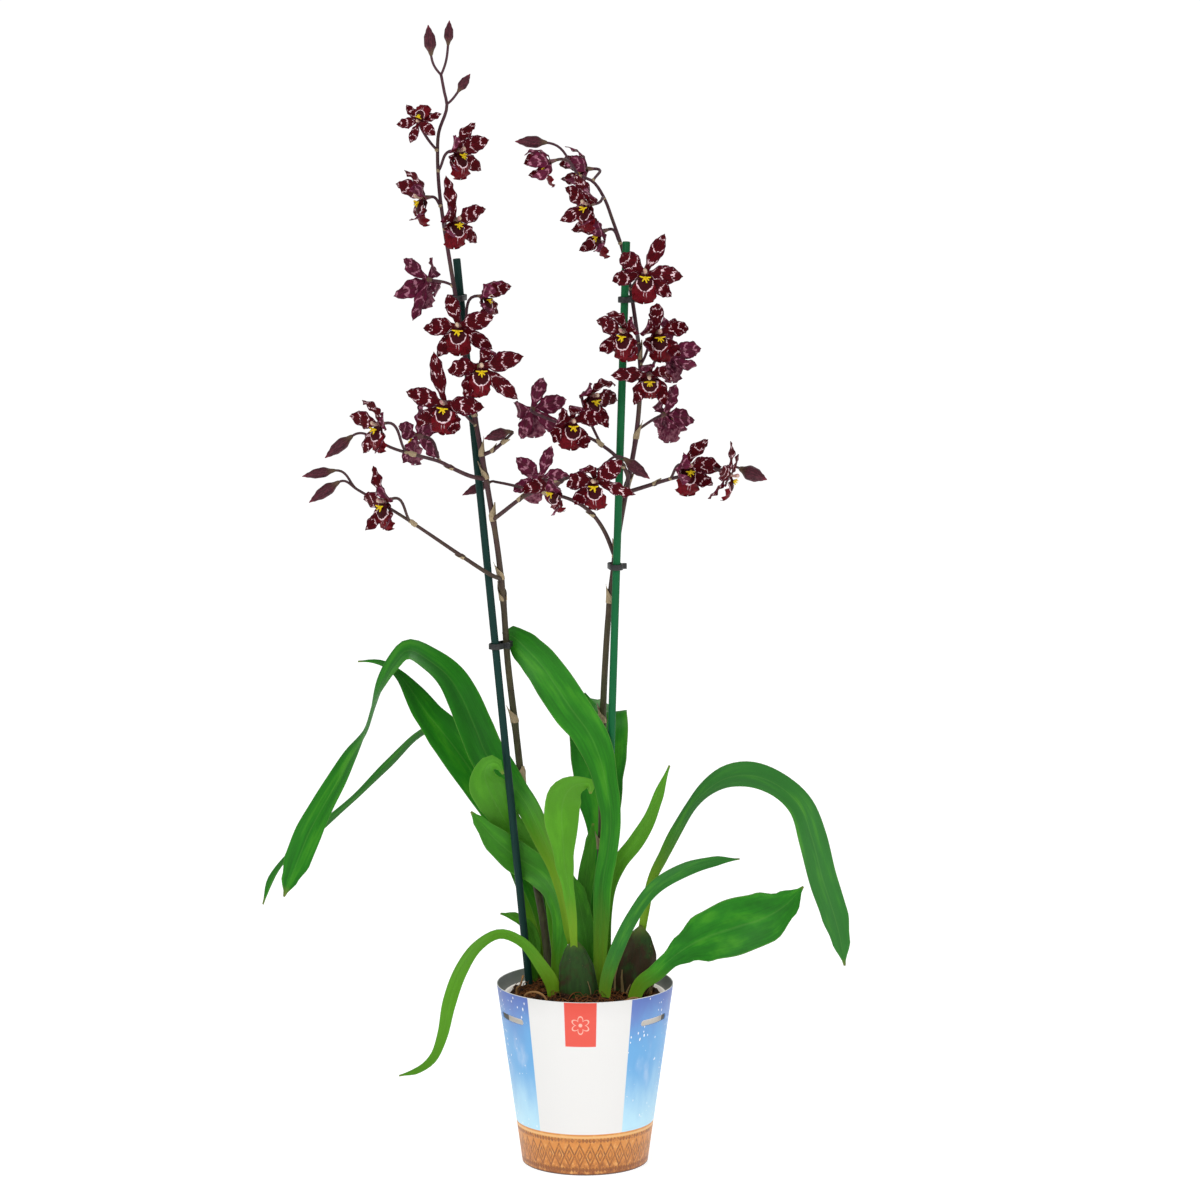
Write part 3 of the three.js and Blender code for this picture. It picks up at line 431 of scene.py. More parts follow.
class OrchidMix(bpy.types.PropertyGroup):
    chips: count_prop("Bark chips", "Number of bark chips on top", 190)
    fibres: count_prop("Fibres", "Number of coir fibres on top", 620)
    bark: colour_prop("Bark", "Dark bark", "382216")
    bark_light: colour_prop("Light bark", "Dry faces of the bark", "8A5730")
    fibre: colour_prop("Fibre", "Dry coir fibre", "9A5F30")
    root: colour_prop("Root", "Tan surface root", "B98A58")


class OrchidBulb(bpy.types.PropertyGroup):
    skin: colour_prop("Skin", "Dark green skin", "2C4C1C")
    brown: colour_prop("Mottling", "Brown mottling", "3C2C1A")
    sheath: colour_prop("Sheath", "Dry papery sheath", "A88F62")


class OrchidLeaf(bpy.types.PropertyGroup):
    thickness: length_prop("Thickness", "Thickness of a leaf", 0.0007, 0.003)
    fold: share_prop("Fold", "Depth of the fold along the midrib", 0.16)
    upper: colour_prop("Upper face", "Green of the upper face", "2A8C16")
    dark: colour_prop("Shade", "Darker green between the veins", "17610F")
    under: colour_prop("Under face", "Duller green of the underside", "3C7A3A")
    foot: colour_prop("Foot", "Yellow green near the bulb", "7CA31C")
    young: colour_prop("Young leaf", "Yellow green of the youngest leaves", "5A981C")


class OrchidStick(bpy.types.PropertyGroup):
    radius: length_prop("Radius", "Radius of the two sticks", 0.0028, 0.01)
    dark: colour_prop("Left stick", "Dark blue green coating", "06352F")
    bright: colour_prop("Right stick", "Bright green coating", "076838")
    clip: colour_prop("Clip", "Black plastic of the clips", "101112")


class OrchidStem(bpy.types.PropertyGroup):
    foot_radius: length_prop("Foot radius", "Stem radius at the foot", 0.0033, 0.01)
    tip_radius: length_prop("Tip radius", "Stem radius at the tip", 0.0011, 0.01)
    low: colour_prop("Lower stem", "Olive brown of the lower stem", "44462B")
    high: colour_prop("Upper stem", "Purple brown of the upper stem", "4E2F38")
    bract: colour_prop("Bract", "Dry papery bract", "BBA683")
    bud: colour_prop("Bud", "Dull purple bud", "3C1721")


class OrchidBloom(bpy.types.PropertyGroup):
    thickness: length_prop("Thickness", "Thickness of a petal", 0.00065, 0.002)
    sepal_width: length_prop("Sepal width", "Width of a sepal", 0.0112, 0.03)
    petal_width: length_prop("Petal width", "Width of a petal", 0.0140, 0.03)
    lip_width: length_prop("Lip width", "Width of the lip", 0.0200, 0.04)
    ground: colour_prop("Ground", "Deep red of the petals", "5E030F")
    shade: colour_prop("Shade", "Darkest red", "310209")
    edge: colour_prop("Edge", "Violet tinge of the margins", "4A0C26")
    bar: colour_prop("Bars", "Pale bars", "F3D6DC")
    back: colour_prop("Backs", "Mauve of the petals' backs", "641838")
    lip: colour_prop("Lip", "Red skirt of the lip", "720616")
    disc: colour_prop("Disc", "Maroon middle of the lip", "30040C")
    crest: colour_prop("Crest", "Yellow fingers of the crest", "E8CE14")
    column: colour_prop("Column", "Cream column", "CDB49C")


class OrchidStage(bpy.types.PropertyGroup):
    floor: colour_prop("Floor", "Pale floor", "FBFBFB")
    key: bpy.props.FloatProperty(name="Key light", description="Watts of the main lamp", default=41)
    fill: bpy.props.FloatProperty(name="Fill light", description="Watts of the side lamp", default=13)
    sky: share_prop("Room light", "Brightness of the white room", 0.42, 4.0)
    glow: share_prop("Floor glow", "Light that keeps the floor white", 0.6, 4.0)


# The plant's own rows, in millimetres and degrees


# name, side, route, half widths along it, degrees the face turns up from the front, tint
LEAVES = [
    ("leaf_01", 1,
     [(-9, -10.3, 163), (-12, -8, 179), (-16, -3, 199), (-22, 5, 220), (-31, 18, 237), (-41, 33, 256),
      (-48, 40, 266), (-57, 47, 276), (-72, 49, 293), (-82, 51, 315), (-91, 51, 336), (-101, 53, 352),
      (-115, 54, 364), (-131, 54, 372), (-141, 54, 362), (-149, 52, 348), (-156, 50, 330), (-162, 48, 312),
      (-173, 46, 294), (-183, 44, 275), (-193, 42, 258), (-204, 40, 238), (-213, 37, 216), (-219, 35, 202),
      (-223, 33, 191)],
     [(0, 3), (0.03, 4.5), (0.26, 8.6), (0.34, 14), (0.4, 15), (0.52, 14), (0.67, 11), (0.89, 12),
      (0.94, 11), (0.97, 7), (1, 0.8)],
     [(0, 0), (0.08, 20), (0.18, 18), (0.26, 10), (0.3, 10), (0.4, 34), (0.63, 76), (0.67, 88), (0.71, 84),
      (0.75, 68), (0.89, 32), (0.97, 25), (1, 25)], 0.45),
    ("leaf_02", 1,
     [(-20, 41, 110), (-22, 42, 140), (-27, 45, 167), (-35, 50, 191), (-49, 57, 220), (-64, 62, 248),
      (-78, 66, 269), (-92, 69, 289), (-105, 71, 306), (-119, 72, 323), (-129, 73, 338), (-138, 73, 350),
      (-148, 73, 358), (-158, 73, 361), (-169, 73, 361)],
     [(0, 4), (0.1, 6), (0.19, 9), (0.38, 11), (0.56, 14), (0.64, 14.5), (0.71, 14), (0.78, 11.5),
      (0.93, 3.5), (1, 0.8)],
     [(0, 5), (0.71, 22), (0.84, 38), (0.93, 60), (1, 60)], 0.5),
    ("leaf_03", 1,
     [(-33, 38, 110), (-34, 42, 151), (-47, 66, 195), (-70, 82, 247), (-92, 90, 280), (-105, 93, 297),
      (-115, 94, 305), (-126, 94, 300), (-147, 93, 279), (-169, 91, 257), (-190, 89, 239), (-210, 87, 221),
      (-226, 85, 207), (-236, 83, 193), (-242, 80, 175)],
     [(0, 4), (0.47, 9), (0.79, 8.5), (0.95, 5), (1, 0.8)],
     [(0, 5), (0.37, 30), (0.47, 50), (0.55, 78), (0.86, 78), (0.91, 74), (0.95, 60), (1, 50)], 0.5),
    ("leaf_04", 1,
     [(-19, 12, 110), (-19, 14, 144), (-21, 20, 173), (-24, 28, 197), (-33, 35, 215), (-43, 40, 228),
      (-56, 38, 242), (-63, 33, 255), (-68, 30, 265), (-72, 28, 275), (-74, 24, 284), (-71, 18, 293),
      (-65, 15, 295), (-60, 14, 287)],
     [(0, 4), (0.4, 7), (0.5, 8.5), (0.57, 10.5), (0.66, 11), (0.73, 10.5), (0.78, 12.5), (0.83, 13.5),
      (0.93, 7), (1, 0.8)],
     [(0, 0), (0.57, 8), (0.83, 8), (0.96, 0), (1, 0)], 0.75),
    ("leaf_05", 1,
     [(-21, 3, 110), (-20, 4, 146), (-18, 10, 175), (-22, 20, 195), (-33, 29, 210), (-50, 32, 221),
      (-65, 28, 234), (-77, 25, 248), (-84, 24, 257)],
     [(0, 4), (0.37, 6), (0.49, 8), (0.61, 11), (0.72, 12), (0.83, 10), (0.94, 5), (1, 0.8)],
     [(0, 0), (0.37, 5), (0.49, 10), (0.72, 0), (0.94, 10), (1, 15)], 0.68),
    ("leaf_06", 1,
     [(-8, -14.6, 164), (-9, -17, 183), (-12, -18, 207), (-15, -18, 228), (-16, -17, 245), (-17, -15, 262),
      (-15, -15, 275), (-10, -18, 283), (-3, -23, 287), (4, -28, 287), (4, -31, 281)],
     [(0, 2.6), (0.3, 4.2), (0.44, 7), (0.67, 13), (0.76, 13), (0.95, 4), (1, 0.8)],
     [(0, 0), (1, 0)], 0.8),
    ("leaf_07", -1,
     [(11, 4, 110), (11, 4, 149), (12, 5, 180), (13, 6, 206), (17, 8, 231), (19, 9, 255), (16, 11, 277),
      (11, 14, 299), (3, 17, 317), (-9, 21, 333), (-21, 27, 350), (-32, 33, 365), (-43, 40, 376),
      (-53, 47, 384), (-61, 53, 386)],
     [(0, 4.2), (0.39, 7), (0.46, 7.2), (0.53, 8.5), (0.67, 13), (0.74, 14.5), (0.8, 14.5), (0.87, 13.5),
      (0.92, 12), (0.97, 8), (1, 0.8)],
     [(0, 0), (1, 0)], 0.6),
    ("leaf_08", 1,
     [(8, 46, 110), (4, 47, 148), (3, 51, 176), (6, 55, 201), (11, 58, 223), (12, 61, 247), (10, 65, 269),
      (10, 69, 291), (10, 74, 311), (10, 83, 321), (11, 96, 323), (12, 110, 326)],
     [(0, 4), (0.27, 5.5), (0.37, 6.5), (0.47, 9), (0.66, 18), (0.75, 21), (0.83, 22), (0.89, 21),
      (0.94, 13), (1, 0.8)],
     [(0, 0), (1, 0)], 0.55),
    ("leaf_09", -1,
     [(14, 14, 110), (15, 15, 151), (15, 18, 181), (18, 20, 203), (26, 21, 220), (37, 21, 234),
      (47, 20, 251), (53, 19, 267), (57, 18, 279), (62, 16, 293)],
     [(0, 3.5), (0.67, 6), (0.86, 4), (1, 0.8)],
     [(0, 0), (0.37, 5), (0.58, 15), (1, 10)], 0.8),
    ("leaf_10", -1,
     [(42, -1, 171), (45, 2, 186), (50, 7, 209), (59, 12, 226), (68, 15, 244), (79, 17, 262), (90, 18, 274),
      (105, 18, 283), (123, 16, 285), (142, 12, 278), (157, 8, 264), (166, 3, 241), (174, -3, 211),
      (182, -8, 187), (187, -12, 168), (190, -16, 150)],
     [(0, 3), (0.25, 9), (0.48, 12.5), (0.8, 11.5), (0.88, 10.5), (0.94, 7), (1, 0.8)],
     [(0, 20), (0.13, 60), (0.19, 70), (0.32, 70), (0.55, 48), (0.7, 28), (0.94, 15), (1, 15)], 0.1),
    ("leaf_11", -1,
     [(14, -24, 110), (15, -24, 137), (23, -26, 163), (35, -29, 189), (51, -31, 211), (73, -34, 225),
      (94, -38, 232), (112, -42, 235)],
     [(0, 4), (0.31, 5.2), (0.77, 6), (0.89, 5), (1, 0.8)],
     [(0, 0), (0.15, 5), (0.47, 32), (1, 55)], 0.15),
    ("leaf_12", -1,
     [(32, -23, 112), (40, -23, 137), (51, -24, 146), (61, -26, 156), (73, -29, 166), (88, -33, 175),
      (110, -39, 184), (131, -43, 192), (147, -46, 203), (158, -48, 216)],
     [(0, 4.5), (0.32, 6.5), (0.41, 11), (0.51, 18), (0.65, 21), (0.79, 19), (0.9, 11), (1, 0.8)],
     [(0, 0), (0.79, 27), (1, 30)], 0.5),
    ("leaf_13", 1,
     [(-23, -17, 110), (-23, -18, 133), (-33, -24, 153), (-46, -28, 170), (-62, -32, 177), (-78, -38, 169),
      (-90, -44, 152), (-98, -48, 130), (-103, -49, 106), (-110, -50, 89), (-121, -50, 80),
      (-135, -50, 76)],
     [(0, 5), (0.1, 5.5), (0.39, 4.2), (0.57, 5.6), (0.87, 4.4), (0.93, 3.6), (1, 0.8)],
     [(0, 10), (0.1, 15), (0.31, 50), (0.68, 22), (0.79, 30), (0.93, 60), (1, 60)], 0.85),
    ("leaf_14", 1,
     [(-41, 31, 110), (-39, 32, 141), (-38, 34, 155), (-42, 36, 167), (-51, 38, 174), (-63, 39, 177)],
     [(0, 4), (0.55, 5), (0.85, 4), (1, 0.8)],
     [(0, 0), (0.55, 10), (0.85, 35), (1, 40)], 0.75),
    ("leaf_15", 1,
     [(-4, 18, 110), (-4, 18, 149), (-2, 21, 185), (1, 25, 210), (4, 28, 233), (6, 30, 247)],
     [(0, 4), (0.73, 6), (0.9, 4), (1, 0.8)],
     [(0, 0), (1, 0)], 0.7),
    ("leaf_16", 1,
     [(1, 11, 110), (2, 11, 154), (-2, 13, 179), (-6, 15, 198), (-10, 17, 212)],
     [(0, 4.5), (0.67, 7.5), (0.86, 6.5), (1, 0.8)],
     [(0, 0), (1, 0)], 0.7),
]

# node, foot, apex, width, depth, turn in degrees
BULBS = [
    ("pseudobulb_1", (-3, -20, 108), (-8, -12, 170), 29, 17, 8),
    ("pseudobulb_2", (32, -7, 112), (41, -2, 178), 33, 18, -12),
    ("pseudobulb_3", (-12, 31, 106), (-13, 32, 150), 21, 13, 4),
]

STAKES = {
    "stake_left": ((-32, 20, 30), (-93, 31, 664)),
    "stake_right": ((11, 32, 30), (30, 8, 678)),
}

# Where thin roots lie on the mix
ROOTS = [
    [(-45, -27, 118), (-44, -31, 131), (-38, -35, 135), (-30, -39, 133), (-25, -42, 122)],
    [(-49, -14, 120), (-50, -19, 133), (-47, -25, 138), (-45, -30, 146)],
    [(44, -20, 120), (49, -6, 131), (44, 10, 130), (36, 16, 122)],
    [(22, -42, 121), (28, -42, 129), (37, -37, 131), (46, -29, 121)],
]

# Each bud: where its stalk leaves, its base, its tip and its radius. Each bract: its height and the
# way it turns. The seed tints the small bracts under the stalks.
SPIKES = {
    "spike_left": {
        "seed": 17,
        "stem": [(-25, 26, 80), (-26, 27, 122), (-30, 33, 166), (-41, 46, 224), (-47, 51, 273),
                 (-52, 47, 320), (-57, 39, 367), (-60, 34, 413), (-64, 27, 453), (-72, 22, 504),
                 (-82, 20, 562), (-88, 20, 602), (-93, 20, 634), (-98, 21, 665), (-102, 22, 690),
                 (-105, 20, 715), (-106, 18, 740), (-105, 17, 756), (-99, 15, 774),
                 (-101, 14, 786), (-103, 14, 797)],
        "branches": [
            [(-72, 22, 504), (-83, 15, 507), (-94, 13, 512), (-105, 11, 518), (-118, 9, 522),
             (-140, 5, 529), (-154, 4, 537)],
            [(-61, 31, 429), (-70, 17, 435), (-92, 14, 450), (-115, 13, 466), (-138, 8, 482),
             (-165, 8, 498)],
            [(-76, 22, 521), (-66, 18, 526), (-52, 15, 539)],
            [(-68, 25, 473), (-60, 18, 480), (-45, 12, 492), (-29, 8, 500), (-15, 4, 506),
             (0, 1, 512), (10, -1, 514)],
        ],
        "buds": [
            ((-103, 14, 797), (-110, 12, 811), (-112, 10, 833), 4.4),
            ((-103, 14, 797), (-98, 16, 818), (-97, 17, 836), 3.4),
            ((-99, 15, 776), (-91, 13, 785), (-82, 12, 798), 3.4),
            ((-154, 4, 537), (-168, 3, 538), (-188, 0, 522), 4.4),
            ((-165, 8, 498), (-178, 7, 504), (-200, 4, 489), 4.4),
            ((-165, 8, 498), (-181, 9, 512), (-205, 5, 508), 3.8),
            ((-52, 15, 539), (-54, 14, 540), (-73, 8, 535), 4.4),
            ((10, -1, 514), (28, -7, 523), (47, -9, 508), 4.4),
        ],
        "bracts": [(273, -60), (320, 200), (413, 120), (429, 190), (473, -30), (504, 170),
                   (521, 0), (550, 160)],
    },
    "spike_right": {
        "seed": 18,
        "stem": [(3, 36, 80), (4, 36, 122), (8, 39, 159), (12, 38, 226), (13, 34, 322),
                 (15, 30, 370), (18, 27, 412), (24, 24, 460), (30, 22, 495), (37, 19, 534),
                 (40, 17, 568), (40, 16, 592), (37, 17, 617), (33, 19, 643), (27, 19, 672),
                 (20, 16, 693), (14, 12, 709), (6, 9, 721), (-3, 7, 725)],
        "branches": [
            [(22, 25, 446), (14, 22, 466), (4, 20, 480), (-10, 21, 489), (-40, 25, 496),
             (-58, 34, 499), (-66, 38, 500)],
            [(31, 22, 497), (31, 13, 508), (24, 7, 521), (12, 6, 531), (1, 9, 537), (-10, 14, 541)],
            [(30, 22, 494), (42, 13, 499), (66, 7, 507), (94, 6, 512), (104, 6, 514)],
        ],
        "buds": [
            ((-66, 38, 500), (-69, 38, 500), (-90, 38, 490), 3.6),
            ((-3, 7, 725), (-27, 8, 749), (-50, 4, 750), 4.4),
            ((104, 6, 514), (112, 6, 514), (132, 2, 506), 5.5),
        ],
        "bracts": [(226, 190), (322, 170), (412, 180), (446, 200), (497, 20), (534, 0), (592, 30)],
    },
}

# The petals and sepals of a flower that is seen from behind or from its edge
PLAIN = [(22, 26), (90, 28), (158, 26), (218, 28), (322, 28)]

# name, middle, where its stalk leaves, azimuth, tilt, roll, size, then angle and reach of the right
# petal, dorsal sepal, left petal, left sepal and right sepal
BLOOMS = [
    ("a1", (-119, 6, 764), (-106, 18, 742), -10, 30, 165, 0.62, PLAIN),
    ("a2", (-91, 4, 743), (-106, 19, 728), 45, 0, 0, 0.95,
     [(20, 25), (75, 24), (150, 20), (222, 22), (328, 29)]),
    ("a3", (-116, 14, 709), (-104, 21, 703), -62, -5, 0, 0.95,
     [(30, 20), (95, 24), (150, 24), (212, 30), (300, 20)]),
    ("a4", (-93, -4, 694), (-102, 22, 684), 32, 0, 0, 0.95,
     [(16, 28), (98, 34), (155, 20), (221, 18), (322, 30)]),
    ("a5", (-114, 38, 648), (-95, 20, 644), -145, 0, 0, 1.0,
     [(339, 30), (34, 30), (140, 20), (215, 22), (296, 32)]),
    ("a6", (-73, 14, 638), (-89, 20, 606), 55, 0, 0, 0.85,
     [(25, 22), (90, 16), (150, 16), (225, 18), (328, 32)]),
    ("a7", (-91, -2, 618), (-87, 20, 594), -5, -5, 0, 1.0,
     [(16, 27), (104, 26), (180, 25), (236, 28), (322, 31)]),
    ("a8", (-75, -14, 590), (-84, 20, 572), 10, -5, 0, 1.05,
     [(10, 32), (70, 18), (180, 25), (235, 24), (318, 36)]),
    ("a9", (-101, -3, 562), (-80, 21, 548), -15, -5, 0, 1.05,
     [(356, 28), (104, 36), (164, 28), (218, 28), (300, 23)]),
    ("b1", (-148, -14, 548), (-130, 7, 525), -45, -5, 0, 0.95,
     [(20, 22), (92, 23), (172, 31), (226, 34), (296, 23)]),
    ("b2", (-122, 34, 534), (-105, 11, 518), -128, 0, 0, 1.0, PLAIN),
    ("c1", (-144, -10, 492), (-128, 10, 475), -45, -10, 0, 1.0,
     [(40, 20), (122, 28), (184, 26), (240, 24), (305, 22)]),
    ("e1", (-33, 42, 502), (-24, 7, 502), -160, 0, 20, 0.9, PLAIN),
    ("e2", (8, -22, 508), (0, 1, 512), -18, -12, 0, 1.0,
     [(38, 26), (106, 18), (170, 20), (227, 20), (340, 30)]),
    ("e3", (-22, -14, 503), (-15, 4, 506), -50, -25, 0, 0.95,
     [(30, 20), (105, 20), (165, 20), (222, 27), (300, 20)]),
    ("d1", (-38, 34, 554), (-10, 14, 541), 172, 0, 0, 1.0,
     [(350, 18), (105, 24), (165, 25), (219, 30), (294, 26)]),
    ("d2", (-9, -18, 551), (0, 10, 537), 12, -12, 0, 1.0,
     [(20, 22), (85, 18), (152, 19), (212, 22), (300, 20)]),
    ("d3", (5, 5, 567), (12, 6, 531), 35, -10, 0, 1.0,
     [(346, 28), (62, 18), (150, 20), (225, 19), (294, 25)]),
    ("f1", (-25, -6, 736), (-3, 7, 725), -80, -15, 0, 0.85,
     [(22, 15), (90, 16), (158, 15), (218, 16), (322, 16)]),
    ("f2", (1, 28, 729), (6, 9, 721), -78, 0, 0, 0.9,
     [(22, 17), (100, 21), (158, 15), (218, 18), (322, 17)]),
    ("f3", (3, -10, 706), (14, 12, 710), -45, 0, 0, 0.95,
     [(40, 20), (98, 24), (155, 27), (211, 26), (300, 20)]),
    ("f4", (12, 8, 685), (25, 18, 677), -62, -15, 0, 0.9,
     [(22, 20), (90, 19), (158, 20), (218, 22), (322, 20)]),
    ("f5", (43, -14, 657), (33, 19, 643), 3, 0, 0, 1.02,
     [(354, 28), (62, 31), (141, 24), (191, 25), (319, 25)]),
    ("f6", (29, -26, 616), (38, 17, 604), -28, -5, 0, 1.0,
     [(30, 20), (105, 20), (165, 26), (224, 20), (310, 22)]),
    ("f7", (53, 0, 613), (41, 16, 590), 12, -5, 0, 1.0,
     [(20, 22), (100, 25), (152, 18), (226, 18), (310, 22)]),
    ("f8", (47, -8, 584), (40, 17, 572), -5, -35, 0, 1.0,
     [(22, 22), (95, 20), (180, 28), (235, 22), (305, 22)]),
    ("f9", (58, 34, 550), (38, 18, 542), 150, 5, 0, 1.0,
     [(42, 17), (120, 27), (184, 28), (240, 20), (310, 22)]),
    ("f10", (62, 30, 594), (40, 17, 570), 140, -5, 0, 0.95,
     [(28, 20), (86, 30), (158, 20), (214, 18), (285, 20)]),
    ("g1", (73, -10, 517), (62, 8, 506), 30, -5, 0, 1.0,
     [(4, 23), (64, 25), (150, 15), (210, 14), (318, 20)]),
    ("g2", (104, -18, 512), (94, 6, 512), 72, -20, 10, 0.9, PLAIN),
]
LEFT_GROUPS = "abce"  # the first letters of the left spike's flowers


# Sleeve and pot


FRONT_PANEL = (-40, 32)  # degrees from the front, left and right edge
FRONT_BLOCK = (-13.5, 7.7)
SIDE_BLUR = 0.2
DEGREE_WIDTH = 0.0011  # metres round the card for one degree; the heights of the print are metres too
BLOCK_FOOT = 0.1
ROSETTE_Z = 0.1165
BAND_TOP = 0.032
PRINT_BLUR = 0.0002
LOZENGE_Z = 0.0155
LOZENGE_HALF = 0.0085
DOT_LINES = (0.0272, 0.0045)
PALE_LINE = 0.0298
SLOT_ANGLES = (-61, 56)  # degrees from the front
SLOT_WIDTH = 32  # millimetres, as the lengths below
SLOT_Z = 114
SLEEVE_FOOT_RADIUS = 46.3
SLEEVE_FLOOR = 1.2
SLEEVE_FOLD = (0.9, 0.6)  # how far in and how high the fold at its foot goes
EDGE_ROUND = 0.2
OUTER_RINGS = (8, 32, 60, 90, 109, 119)  # heights of the mesh's rings, up the outside
INNER_RINGS = (119, 109, 60)  # and down the inside
CUTTER_START = 4  # how far inside the card a slot's cutter starts
CUTTER_DEPTH = 12
CARD_EDGE = 0.3  # the cut edge starts this far under the rim; faces below this height are the underside


def sleeve_radius(z):
    """Millimetres, at a height in millimetres."""
    return mix(SLEEVE_FOOT_RADIUS, SLEEVE_HIGH.x / MM, z / (SLEEVE_HIGH.z / MM))


def card_paint(look):
    paint = Paint("printed_card", coat=0.15)
    x, y, z = paint.parts(paint.point())
    up = z / SLEEVE_HIGH.z
    around = x.turn(0 - y) * math.degrees(1)
    flat = paint.vector(around / 60, up, 0.0)
    clouds = paint.noise(flat, 2.6, 4.0)
    height = up + (clouds - 0.5) * 0.4
    sky = paint.blend(height.rise(0.2, 0.66), look.sky_low, look.sky_middle)
    sky = paint.blend(height.rise(0.7, 1.0), sky, look.sky_high)
    sky = paint.blend(clouds.rise(0.56, 0.8) * 0.35, sky, (1, 1, 1))
    specks = paint.cells(flat, 24.0)
    size = paint.noise(flat, 7.0, 1.0).rise(0.36, 0.7) * 0.23
    sparkle = (size - specks).rise(0.0, 0.05)
    sky = paint.blend(sparkle, sky, (1, 1, 1))
    card = paint.blend(around.within(*FRONT_PANEL, SIDE_BLUR), sky, look.panel)
    above = z.rise(BLOCK_FOOT - PRINT_BLUR, BLOCK_FOOT + PRINT_BLUR)
    block = around.within(*FRONT_BLOCK, SIDE_BLUR) * above
    # a plain rosette of six petals, paler than the block
    side = (around - sum(FRONT_BLOCK) / 2) * DEGREE_WIDTH
    rise = z - ROSETTE_Z
    far = (side * side + rise * rise) ** 0.5
    petal = far - 0.0035 - abs((rise.turn(side) * 3).sine()) * 0.0032
    ring = abs(petal).rise(0.0007, 0.0003).most(far.rise(0.0016, 0.0012))
    red = paint.blend(ring * 0.75, look.block, (0.97, 0.62, 0.5))
    card = paint.blend(block, card, red)
    # ochre foot: lozenges between two dotted lines, worn like old metal
    worn = paint.noise(paint.vector(around / 40, up * 3, 1.0), 9.0, 6.0, 0.7)
    lozenge = abs((around / 9).fraction() - 0.5) * 2 + abs(z - LOZENGE_Z) / LOZENGE_HALF
    relief = abs(lozenge - 1).rise(0.2, 0.08).most(abs(lozenge - 0.45).rise(0.16, 0.06))
    dots = (around / 3).fraction() - 0.5
    for line in DOT_LINES:
        relief = relief.most((dots * dots * 3.2 + abs(z - line) * 420).rise(0.9, 0.5))
    engraved = relief * worn.rise(0.3, 0.6)
    band = paint.blend((z * 30 + (worn - 0.5) * 1.6).rise(-0.3, 0.5), look.band_dark, look.band)
    band = paint.blend(worn.rise(0.5, 0.7) * 0.6, band, (0.86, 0.5, 0.17))
    band = paint.blend(engraved * 0.8, band, look.band_dark)
    band = paint.blend(z.rise(0.0018, 0.0008), band, (0.1, 0.03, 0.01))
    band = paint.blend(abs(z - PALE_LINE).rise(0.0014, 0.0004) * 0.6, band, (0.95, 0.62, 0.26))
    below = z.rise(BAND_TOP + PRINT_BLUR, BAND_TOP - PRINT_BLUR)
    card = paint.blend(below, card, band)
    return paint.done(card, (relief * below, 0.0005, 0.9), 0.4 + worn * 0.12)


def plain_card_paint(look):
    paint = Paint("bare_card", roughness=0.75)
    where = paint.point()
    pulp = paint.noise(where, 900.0, 3.0)
    broad = paint.noise(where, 40.0, 2.0)
    colour = paint.blend(pulp, shaded(look.inside, 0.8), look.inside)
    colour = paint.blend(broad * 0.35, colour, (0.42, 0.43, 0.42))
    return paint.done(colour, (pulp, 0.0001, 0.4))


def cut_edge_paint():
    paint = Paint("card_edge", roughness=0.7)
    grain = paint.noise(paint.point(), 1500.0, 2.0)
    return paint.done(paint.blend(grain, (0.72, 0.72, 0.7), (0.88, 0.88, 0.87)))


